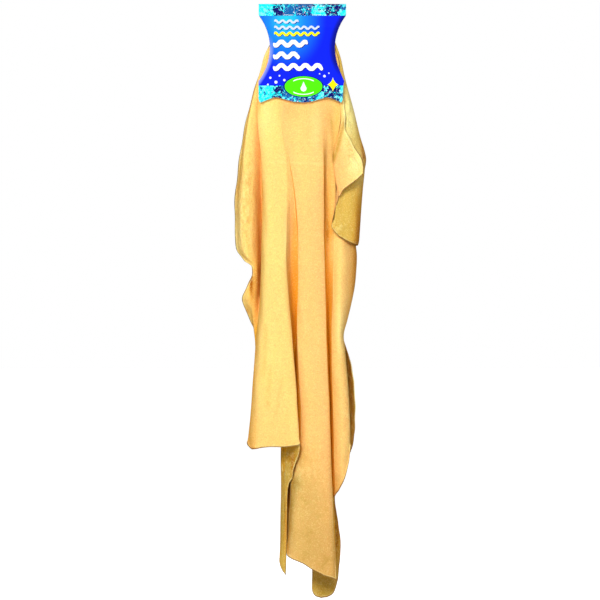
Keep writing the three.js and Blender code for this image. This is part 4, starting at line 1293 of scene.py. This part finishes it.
def leather(name, flesh=None):
    """One side of the skin: its colour in four steps, then its relief from coarse to fine.

    flesh is 1 on the flesh side. Where it isn't given, each point's own number is read.
    """
    recipe = Recipe(name)
    x, _, height = recipe.axes()
    rumple = recipe.attribute("rumple")
    lines = crease_lines(recipe, x, height)
    wrinkle = recipe.noise(WRINKLE_SIZE, detail=4, rough=0.6, stretch=(1, 1, 0.7))
    colour = hide_colour(recipe, height, flesh or recipe.attribute("flesh"))
    colour = fold_colour(recipe, height, colour)
    colour = edge_colour(recipe, rumple, colour)
    colour = worn_colour(recipe, height, lines, wrinkle, rumple, colour)
    recipe.bump(recipe.noise(FOLD_SIZE, detail=4, rough=0.55, stretch=(1, 1, 0.6)), FOLD_RISE)
    recipe.bump(wrinkle * rumple, WRINKLE_RISE)
    recipe.bump(lines, CREASE_RISE)
    recipe.bump(recipe.cells(PEBBLE_SIZE), PEBBLE_RISE)
    recipe.bump(recipe.noise(NAP_SIZE, detail=3, rough=0.7), NAP_RISE)
    return recipe.finish(colour, roughness=0.92, specular_ior_level=0.05, subsurface_weight=0.15,
                         subsurface_scale=LIGHT_DEPTH, subsurface_radius=(1.0, 0.5, 0.2))


for finish in (leather("chamois_suede"), leather("chamois_flesh_side", 1.0), cut_edge()):
    skin.data.materials.append(finish)
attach(skin, "root")
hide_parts("chamois_skin")
print("leather on", skin.name)

# %% [markdown]
# ## The card as one bent board
#
# The real card is one piece of coated board, die-cut to its outline, printed and folded in half.
# It is drawn the same way: one strip of points that climbs the front panel, turns over the fold
# and runs down the back panel. Across the strip the points go from one edge of the outline to
# the other, so its hollow sides and wavy foot come out without any cutting. They crowd towards
# the edges, where the corners are. Low on its right the card is a little narrower.

# %% Bend the board
FOOT_WAVE_SHARES = np.array([[0, 0], [0.2, 0.15], [0.4, 0.62], [0.61, 1], [0.8, 0.5], [0.94, 0]])
CORNER_SHARE = 0.955
CROWDING_SHARE = 0.35
# Height, and what is trimmed off the right side there.
FOOT_TRIM = np.array([[-0.124, 0.0045], [-0.1175, 0.0042], [-0.1025, 0.0036], [-0.089, 0.0008],
                      [-0.08, 0]])
ACROSS_STEPS = 72
PANEL_STEPS = 64
BEND_STEPS = 8


def outline_half_width(height):
    """Half the card's width at each height: square head, one hollow arc a side, upright foot.

    The arc is part of the circle through the head's lower corner, the waist and the foot's
    upper corner.
    """
    head = np.array([CARD_WIDTH / 2, -CARD_HEAD_HEIGHT])
    foot = np.array([CARD_FOOT_WIDTH / 2, CARD_FOOT_HEIGHT - CARD_HEIGHT])
    waist = np.array([CARD_WAIST_WIDTH / 2, (head[1] + foot[1]) / 2])
    middle = (head + foot) / 2
    hollow = np.linalg.norm(waist - middle)
    radius = (np.sum((head - foot) ** 2) / 4 + hollow ** 2) / (2 * hollow)
    centre = waist - (waist - middle) / hollow * radius
    level = np.clip(height, foot[1], head[1])
    return centre[0] - np.sqrt(radius ** 2 - (level - centre[1]) ** 2)


def foot_line(share):
    """The height of the card's lower edge: a wave, with a rounded corner at each end.

    A corner is a quarter circle: the radius less its height at that share of the way past it.
    """
    wave = smooth_curve(FOOT_WAVE_SHARES, np.minimum(share, FOOT_WAVE_SHARES[-1, 0]))[..., 0]
    past = np.clip((share - CORNER_SHARE) / (1 - CORNER_SHARE), 0, 1)
    corner = CARD_CORNER_RADIUS * (1 - np.sqrt(1 - past ** 2))
    return np.maximum(wave * CARD_WAVE, 0) * (share < 1) + corner - CARD_HEIGHT


def board_points():
    """The middle surface of the board, from the front foot over the fold to the back foot.

    Each panel lies half a board inside its outer face. The fold is two quarter circles with a
    level run between them.
    """
    share = np.linspace(-1, 1, ACROSS_STEPS + 1)
    share = blend(share, np.sin(share * math.pi / 2), CROWDING_SHARE)
    foot = foot_line(np.abs(share))
    rise = np.linspace(0, 1, PANEL_STEPS, endpoint=False)[:, None]
    half = BOARD_THICKNESS / 2
    radius = FOLD_RADIUS - half
    height = foot + (-FOLD_RADIUS - foot) * rise
    width = outline_half_width(height) * share
    width -= np.interp(height, *FOOT_TRIM.T) * np.maximum(share, 0) ** 2
    front = np.stack([width, half - panel_depth(height, FRONT_FLARE), height], -1)
    back = np.stack([width, panel_depth(height, BACK_FLARE) - half, height], -1)
    turn = np.linspace(0, math.pi / 2, BEND_STEPS + 1)
    centre = PANEL_OUTER - FOLD_RADIUS
    depth = np.concatenate([-centre - radius * np.cos(turn), centre + radius * np.sin(turn)])
    level = np.concatenate([radius * np.sin(turn), radius * np.cos(turn)]) - FOLD_RADIUS
    fold = np.stack(np.broadcast_arrays(
        outline_half_width(level)[:, None] * share, depth[:, None], level[:, None]), -1)
    return np.concatenate([front, fold, back[::-1]])


board = board_points()
card = add_mesh("header_card_board", board.reshape(-1, 3),
                grid_faces(np.arange(board[..., 0].size).reshape(board.shape[:2]))[:, ::-1])
add_thickness(card, BOARD_THICKNESS, 1, 1)
print("card:", board.shape[:2], "points, lowest at", round(float(board[..., 2].min()), 4), "m")

# %% [markdown]
# ## The card's print: water at head and foot
#
# The front is printed in blues. A band of splashing water runs along the head and another along
# the foot. Water has foam, masses, clumps and spray, each of its own size, so it takes four
# noises. Each is cut off at a level, and raised at the places where the water gathers. All of
# the print is placed by X and Z in metres, so it sits on the board as ink does.

# %% Water bands
CYAN = (0.0, 0.90, 0.93)
PALE_CYAN = (0.55, 0.95, 0.98)
TEAL = (0.03, 0.36, 0.62)
NAVY = (0.0, 0.02, 0.38)
WHITE = (0.93, 0.93, 0.93)
FOAM_SIZE = 0.0035
MASS_SIZE = 0.008
CLUMP_SIZE = 0.0032
SPRAY_SIZE = 0.0019
# Middle along X, reach, and how much more water there is.
MASS_PLACES = ((-0.006, 0.028, 0.16),)
CLUMP_PLACES = ((-0.031, 0.009, 0.16), (0.037, 0.014, 0.17), (0.003, 0.016, 0.10))
SPRAY_PLACE = (0.012, 0.05)


def near(value, middle, reach):
    """1 where a field is at the middle, fading to 0 where it is a reach away."""
    off = (value - middle) / reach
    return (off * off).rise(1, 0)


def gathered(cloud, x, places):
    """A noise with more added to it near each place: its amount, times how near X is."""
    for middle, reach, more in places:
        cloud = cloud + near(x, middle, reach) * more
    return cloud


def splash_colour(recipe, x):
    """Splashing water: cyan with pale foam, then teal masses, dark clumps and white spray."""
    foam = recipe.noise(FOAM_SIZE, detail=5, rough=0.75)
    mass = gathered(recipe.noise(MASS_SIZE, detail=5, rough=0.7), x, MASS_PLACES)
    clump = gathered(recipe.noise(CLUMP_SIZE, detail=5, rough=0.7), x, CLUMP_PLACES)
    spray = recipe.noise(SPRAY_SIZE, detail=3, rough=0.6)
    return recipe.layered(
        CYAN, (foam.rise(0.50, 0.56) * 0.8, PALE_CYAN), (mass.rise(0.58, 0.61), TEAL),
        (clump.rise(0.60, 0.62), NAVY),
        (spray.rise(0.60, 0.64) * near(x, *SPRAY_PLACE) * 0.8, WHITE))


print("clumps of drops at X", [middle for middle, _, _ in CLUMP_PLACES])

# %% [markdown]
# ## The card's print: the glow between
#
# Between the bands light spreads from a point in the upper left, from cyan through azure to a
# deep blue. A lilac line and a dark shade along the hollow sides make the edge look raised. The
# distance from the side has to follow the hourglass. Here a parabola stands in for its arc. It
# takes a few nodes and is less than a millimetre off, and the shade is far wider than that.

# %% Glow
GLOW_CYAN = (0.12, 0.74, 0.93)
AZURE = (0.06, 0.50, 0.92)
BLUE = (0.0, 0.11, 0.90)
LILAC = (0.55, 0.62, 0.98)
GLOW_PLACE = (-0.020, -0.020)
GLOW_SQUASH = 0.6
GLOW_TO_AZURE = (0.002, 0.024)
GLOW_TO_BLUE = (0.016, 0.052)
SIDE_BEND = 8.1
LILAC_REACH = (0.0060, 0.0005)
SHADE_REACH = (0.0095, 0.0020)
LINE_REACH = (0.0012, 0.0002)
WAIST_HEIGHT = (CARD_FOOT_HEIGHT - CARD_HEIGHT - CARD_HEAD_HEIGHT) / 2
LILAC_HEIGHTS = (WAIST_HEIGHT + 0.02, WAIST_HEIGHT - 0.01)
SHADE_HEIGHTS = (-0.1, -0.07)
LINE_HEIGHTS = (-0.06, -0.03)


def glow_colour(recipe, x, z):
    """Cyan light spreading into deep blue, with a raised edge along the hollow sides.

    The distance from the light is the root of X squared and a share of Z squared. The card's
    half width is its half waist plus the bend times the square of the height from the waist.
    """
    far_x, far_z = x - GLOW_PLACE[0], z - GLOW_PLACE[1]
    glow = (far_x * far_x + far_z * far_z * GLOW_SQUASH).root()
    from_waist = z - WAIST_HEIGHT
    half_width = from_waist * from_waist * SIDE_BEND + CARD_WAIST_WIDTH / 2
    from_left, from_right = x + half_width, half_width - x
    return recipe.layered(
        GLOW_CYAN, (glow.rise(*GLOW_TO_AZURE), AZURE), (glow.rise(*GLOW_TO_BLUE), BLUE),
        (from_left.rise(*LILAC_REACH) * z.rise(*LILAC_HEIGHTS) * 0.8, LILAC),
        (from_right.rise(*SHADE_REACH) * z.rise(*SHADE_HEIGHTS) * 0.85, NAVY),
        (from_left.rise(*LINE_REACH) * z.rise(*LINE_HEIGHTS) * 0.6, NAVY))


print("the glow's waist lies at Z", round(WAIST_HEIGHT, 4))

# %% [markdown]
# ## The card's print: ripples, bubbles, drop and star
#
# An object in the library names no maker and no product, so its print is plain: ripples of
# water, bubbles, a drop in a green oval and a simple star. An image would blur when looked at
# closely. Each shape is therefore a distance field, which stays sharp: how far a point is from
# a curve, a circle or a corner, turned into ink where that distance is small.

# %% Shapes of ink
PALE_LILAC = (0.78, 0.82, 0.95)
INK_YELLOW = (0.93, 0.91, 0.0)
SOFT = 0.0002
# From X, to X, height, half thickness, sway, length of a wave, and ink.
RIPPLES = (
    (-0.034, -0.006, -0.0222, 0.0012, 0.0013, 0.0090, PALE_LILAC),
    (-0.034, 0.020, -0.0300, 0.0012, 0.0013, 0.0090, PALE_LILAC),
    (-0.034, 0.020, -0.0378, 0.0014, 0.0014, 0.0090, INK_YELLOW),
    (-0.034, 0.004, -0.0500, 0.0026, 0.0022, 0.0150, WHITE),
    (-0.034, -0.006, -0.0648, 0.0026, 0.0022, 0.0150, WHITE),
    (-0.034, 0.023, -0.0795, 0.0026, 0.0022, 0.0150, WHITE),
)
RIPPLE_SHADE = (0.0009, -0.0009)
# X, Z and radius.
BUBBLES = (
    (-0.0400, -0.0930, 0.0016), (-0.0330, -0.0985, 0.0021), (-0.0285, -0.0905, 0.0012),
    (-0.0225, -0.0960, 0.0016), (0.0275, -0.0910, 0.0018), (0.0330, -0.0872, 0.0010),
    (0.0215, -0.0880, 0.0009), (-0.0430, -0.1015, 0.0013),
)
DROP = {"x": 0.0014, "z": -0.1065, "radius": 0.0036, "tip": 0.0085}
STAR = {"x": 0.038, "z": -0.1015, "wide": 0.0070, "high": 0.0090, "power": 0.68}


def ripple_ink(x, z, start, end, height, line, sway, wave):
    """1 on a swaying stroke of even width with round ends, 0 off it.

    The distance to the sine is its height above it over the root of 1 plus the slope squared.
    """
    turns = 2 * math.pi / wave
    slope = (x * turns + math.pi / 2).sine() * (turns * sway)
    off = (z - height - (x * turns).sine() * sway) / (slope * slope + 1).root()
    beyond = (x - end).most(x * -1 + start).most(0)
    return root_sum(off, beyond).rise(line + SOFT, line)


def bubble_ink(x, z, middle_x, middle_z, radius):
    """1 near a bubble's rim, less in its middle: two rises of distance over radius, multiplied."""
    share = root_sum(x - middle_x, z - middle_z) / radius
    return share.rise(1, 0.75) * share.rise(-0.6, 0.8)


def drop_ink(x, z):
    """1 on a drop of water: a circle whose upper half is drawn up to a point."""
    off, up = (x - DROP["x"]).size(), z - DROP["z"]
    round_part = root_sum(off, up).rise(DROP["radius"] + SOFT, DROP["radius"])
    taper = off - (up * -1 + DROP["tip"]) * (DROP["radius"] / DROP["tip"])
    return round_part.most(taper.rise(SOFT, 0) * up.rise(0, SOFT))


def star_ink(x, z):
    """1 on a four-pointed star: where powers of the two shares of its reach add up to 1."""
    across, up = (x - STAR["x"]).size() / STAR["wide"], (z - STAR["z"]).size() / STAR["high"]
    power = STAR["power"]
    return (across.math("POWER", power) + up.math("POWER", power)).rise(1.04, 1.0)


print("ripples:", len(RIPPLES), "bubbles:", len(BUBBLES))

# %% [markdown]
# ## The printed and the plain side
#
# The shapes could each be a decal, a small piece of its own just above the board. But a press
# lays its inks one over another, and layers of colour do the same: the glow, the ripples and
# their shades, the water, the bubbles, the oval, the drop and the star. The side that faces the
# skin is bare board, off-white with a faint fibre.

# %% Print
GREEN = (0.30, 0.93, 0.0)
BOARD_TINTS = (0.93, 0.92, 0.89), (0.98, 0.97, 0.95)
HEAD_BAND = -0.0150
FOOT_BAND = -0.1030
OVAL = {"x": 0.0014, "z": -0.1040, "wide": 0.0232, "high": 0.0126}
OVAL_RIM = 0.0009
BOARD_FIBRE_SIZE = 0.0006
BOARD_FIBRE_RISE = 0.00005


def oval_colour(recipe, x, z, colour):
    """A green oval with a dark rim, and in it a pale ring that is open at both ends.

    The oval's share is 1 where X and Z, each over its half size, have squares that add up to 1.
    """
    across, down = (x - OVAL["x"]) / OVAL["wide"], (z - OVAL["z"]) / OVAL["high"]
    oval = root_sum(across, down)
    rim = 1 + OVAL_RIM / OVAL["high"]
    ring = near(oval, 0.78, 0.055) * near(across, 0, 0.62).rise(0, 0.3)
    return recipe.layered(
        colour, (oval.rise(rim + 0.02, rim), NAVY), (oval.rise(1.02, 1), GREEN),
        (ring.rise(0.2, 0.5), WHITE))


def printed_board():
    """The front of the board: each ink laid over the one before by its own share."""
    recipe = Recipe("printed_board")
    x, _, z = recipe.axes()
    moved = x - RIPPLE_SHADE[0], z - RIPPLE_SHADE[1]
    colour = glow_colour(recipe, x, z)
    for *ripple, ink in RIPPLES:
        colour = recipe.layered(
            colour, (ripple_ink(*moved, *ripple) * 0.85, NAVY), (ripple_ink(x, z, *ripple), ink))
    band = z.rise(HEAD_BAND, HEAD_BAND + SOFT).most(z.rise(FOOT_BAND + SOFT, FOOT_BAND))
    colour = recipe.mix(band, colour, splash_colour(recipe, x))
    colour = recipe.layered(colour, *((bubble_ink(x, z, *bubble), WHITE) for bubble in BUBBLES))
    colour = oval_colour(recipe, x, z, colour)
    colour = recipe.layered(colour, (drop_ink(x, z), WHITE), (star_ink(x, z), INK_YELLOW))
    return recipe.finish(colour, roughness=0.5, specular_ior_level=0.04)


def plain_board():
    """The bare side of the board: two off-whites mixed by a fine fibre, which is also raised."""
    recipe = Recipe("plain_board")
    fibre = recipe.noise(BOARD_FIBRE_SIZE, detail=4, rough=0.7)
    recipe.bump(fibre, BOARD_FIBRE_RISE)
    return recipe.finish(recipe.mix(fibre, *BOARD_TINTS), roughness=0.8)


card.data.materials.append(printed_board())
card.data.materials.append(plain_board())
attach(card, "root")
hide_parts("header_card")
print("print on", card.name)

# %% [markdown]
# ## The staples
#
# Two flat-wire staples go through both panels and the neck between them, and close inwards
# behind. Each is a ribbon of wire bent round small radii. A curve object with a bevel would
# make a round wire, so here a flat section with cut corners is carried along a path, and the
# corners of the path are rounded off.

# %% Staples
STAPLE_CROWN = 0.0128
WIRE_WIDTH = 0.0007
WIRE_THICKNESS = 0.0005
STAPLE_CLINCH = 0.0042
STAPLE_DROP = 0.014
STAPLE_OFFSET = 0.018
CLEARANCE = 0.0003
WIRE_BEND = 0.0006
WIRE_BEND_STEPS = 6
SECTION_CORNER = 0.00012
ZINC_TINTS = (0.62, 0.65, 0.67), (0.74, 0.76, 0.78)
DRAWN_SIZE = 0.0004
DRAWN_RISE = 0.00001


def rounded_path(corners, radius, steps):
    """A path through corners in a plane, each rounded off within a radius of it.

    The bend is the parabola that leaves and meets both straight runs at that distance.
    """
    points = [corners[:1]]
    for before, corner, after in zip(corners, corners[1:], corners[2:]):
        into = (before - corner) / np.linalg.norm(before - corner)
        out = (after - corner) / np.linalg.norm(after - corner)
        t = np.linspace(0, 1, steps + 1)[:, None]
        start, end = corner + into * radius, corner + out * radius
        points.append((1 - t) ** 2 * start + 2 * t * (1 - t) * corner + t * t * end)
    return np.concatenate([*points, corners[-1:]])


def swept_wire(path, side):
    """A rectangle with cut corners carried along a path in X and Y, its width along Z."""
    way = np.gradient(path, axis=0)
    way /= np.linalg.norm(way, axis=1, keepdims=True)
    out = np.stack([-way[:, 1], way[:, 0]], -1)
    wide, thick, cut = WIRE_WIDTH / 2, WIRE_THICKNESS / 2, SECTION_CORNER
    ring = np.array([[wide, thick - cut], [wide - cut, thick], [cut - wide, thick],
                     [-wide, thick - cut], [-wide, cut - thick], [cut - wide, -thick],
                     [wide - cut, -thick], [wide, cut - thick]])
    flat = path[:, None] + out[:, None] * ring[None, :, 1:]
    height = np.broadcast_to(ring[:, 0] - STAPLE_DROP, flat.shape[:2])
    return np.concatenate([flat + (side * STAPLE_OFFSET, 0), height[..., None]], -1)


def add_staple(name, side):
    """One staple: a closed tube along the rounded path, with a flat end at each tip."""
    reach = PANEL_OUTER + CLEARANCE + WIRE_THICKNESS / 2
    leg = (STAPLE_CROWN - WIRE_THICKNESS) / 2
    tip = STAPLE_CROWN / 2 - WIRE_THICKNESS - STAPLE_CLINCH
    corners = np.array([[tip, reach], [leg, reach], [leg, -reach],
                        [-leg, -reach], [-leg, reach], [-tip, reach]])
    tube = swept_wire(rounded_path(corners, WIRE_BEND, WIRE_BEND_STEPS), side)
    index = np.arange(tube[..., 0].size).reshape(tube.shape[:2])
    walls = grid_faces(np.concatenate([index, index[:, :1]], 1))
    ends = np.array([index[0, [0, 1, 2, 3]], index[0, [0, 3, 4, 7]], index[0, [4, 5, 6, 7]],
                     index[-1, [3, 2, 1, 0]], index[-1, [7, 4, 3, 0]], index[-1, [7, 6, 5, 4]]])
    piece = add_mesh(f"{name}_wire", tube.reshape(-1, 3), np.concatenate([walls, ends]))
    piece.data.materials.append(staple_wire())
    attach(piece, "root")
    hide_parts(name)
    return piece


def staple_wire():
    """Dull zinc: two greys mixed by fine marks drawn out along X, which are also raised."""
    recipe = Recipe("staple_zinc")
    drawn = recipe.noise(DRAWN_SIZE, detail=3, stretch=(0.05, 1, 1))
    recipe.bump(drawn, DRAWN_RISE)
    return recipe.finish(recipe.mix(drawn, *ZINC_TINTS), metallic=1.0, roughness=0.45)


staples = [add_staple(f"staple_{name}", side) for name, side in (("left", -1), ("right", 1))]
print("staples:", [staple.name for staple in staples])

# %% [markdown]
# ## Studio and camera
#
# The photograph is a plain cut-out on white, taken square on. A long lens keeps the folds' true
# proportions. A soft lamp in front and above models the folds, a weaker one fills from the
# other side, and one behind lights the back for views from there. A dim white room lights the
# valleys. The room and the floor show plain white to the camera.

# %% Room and floor
FLOOR_DROP = 0.80
FLOOR_SIZE = 40.0
FLOOR_GLOW = 0.75
ROOM_LIGHT = 0.32


def white_room():
    """A world that lights the object dimly and shows white to the eye and in reflections.

    A ray from the camera, off a glossy surface or through glass meets the bright background,
    and every other ray the dim one: the three signs are added and held at 1.
    """
    world = bpy.data.worlds.new("white_room")
    world.use_nodes = True
    tree = world.node_tree
    tree.nodes.clear()
    rays = tree.nodes.new("ShaderNodeLightPath")
    seen = rays.outputs["Is Camera Ray"]
    for kind in ("Is Glossy Ray", "Is Transmission Ray"):
        either = tree.nodes.new("ShaderNodeMath")
        either.operation = "ADD"
        either.use_clamp = True
        tree.links.new(seen, either.inputs[0])
        tree.links.new(rays.outputs[kind], either.inputs[1])
        seen = either.outputs[0]
    choice = tree.nodes.new("ShaderNodeMixShader")
    tree.links.new(seen, choice.inputs[0])
    for slot, strength in ((1, ROOM_LIGHT), (2, 1)):
        room = tree.nodes.new("ShaderNodeBackground")
        room.inputs["Color"].default_value = (1, 1, 1, 1)
        room.inputs["Strength"].default_value = strength
        tree.links.new(room.outputs[0], choice.inputs[slot])
    output = tree.nodes.new("ShaderNodeOutputWorld")
    tree.links.new(choice.outputs[0], output.inputs["Surface"])
    bpy.context.scene.world = world


def add_floor():
    """A wide pale floor below the skin, lit by the lamps and lifted to white for the camera."""
    half = FLOOR_SIZE / 2
    points = np.array([[-half, -half, -FLOOR_DROP], [half, -half, -FLOOR_DROP],
                       [half, half, -FLOOR_DROP], [-half, half, -FLOOR_DROP]])
    floor = add_mesh("floor", points, np.array([[0, 1, 2, 3]]))
    recipe = Recipe("pale_floor")
    rays = recipe.add("ShaderNodeLightPath")
    glow = Field(recipe, rays.outputs["Is Camera Ray"]) * FLOOR_GLOW
    recipe.shader.inputs["Emission Color"].default_value = (1, 1, 1, 1)
    recipe.feed(recipe.shader.inputs["Emission Strength"], glow)
    floor.data.materials.append(recipe.finish((0.9, 0.9, 0.9), roughness=0.9))


white_room()
add_floor()
print("room light:", ROOM_LIGHT, "floor glow:", FLOOR_GLOW)

# %% [markdown]
# ## Lamps and lens
#
# The lamps are discs aimed at the middle of the skin. The camera looks straight ahead at it from
# five metres, and its focal length is the width of the sensor times that distance over the width
# of the view, so that the picture is as wide as the photograph.

# %% Lamps and camera
CAMERA_DISTANCE = 5.0
VIEW_SIZE = 0.75
VIEW_MIDDLE = (-0.003, -0.370)
SENSOR = 0.036
MILLIMETRES = 1000
LAMPS = {
    "key_lamp": {"at": (-0.28, -1.35, 0.25), "size": 0.5, "watts": 17.0},
    "fill_lamp": {"at": (0.3, -2.2, 0.1), "size": 0.6, "watts": 9.5},
    "back_lamp": {"at": (0.2, 2.2, 0.3), "size": 0.8, "watts": 12.0},
}


def aimed(thing, place, target):
    """Puts a lamp or camera at a place. Its own minus Z then points along target less place."""
    holder = bpy.data.objects.new(thing.name, thing)
    bpy.context.collection.objects.link(holder)
    holder.location = place
    way = Vector(target) - Vector(place)
    holder.rotation_euler = way.to_track_quat("-Z", "Y").to_euler()
    return holder


def add_lamp(name, at, size, watts):
    """A round soft lamp of the given width and power, aimed at the middle of the skin."""
    lamp = bpy.data.lights.new(name, "AREA")
    lamp.shape = "DISK"
    lamp.size = size
    lamp.energy = watts
    aimed(lamp, at, (0, 0, VIEW_MIDDLE[1]))


for name, lamp in LAMPS.items():
    add_lamp(name, **lamp)
view = bpy.data.cameras.new("camera")
view.sensor_width = SENSOR * MILLIMETRES
view.lens = view.sensor_width * CAMERA_DISTANCE / VIEW_SIZE
view.clip_end = FLOOR_SIZE
bpy.context.scene.camera = aimed(view, (VIEW_MIDDLE[0], -CAMERA_DISTANCE, VIEW_MIDDLE[1]),
                                 (VIEW_MIDDLE[0], 0, VIEW_MIDDLE[1]))
bpy.context.scene.view_settings.view_transform = "Standard"
print("camera lens:", round(view.lens), "mm")

# %% [markdown]
# The visual model has to stay within the CAD model's box, apart from a small allowance for
# cloth.
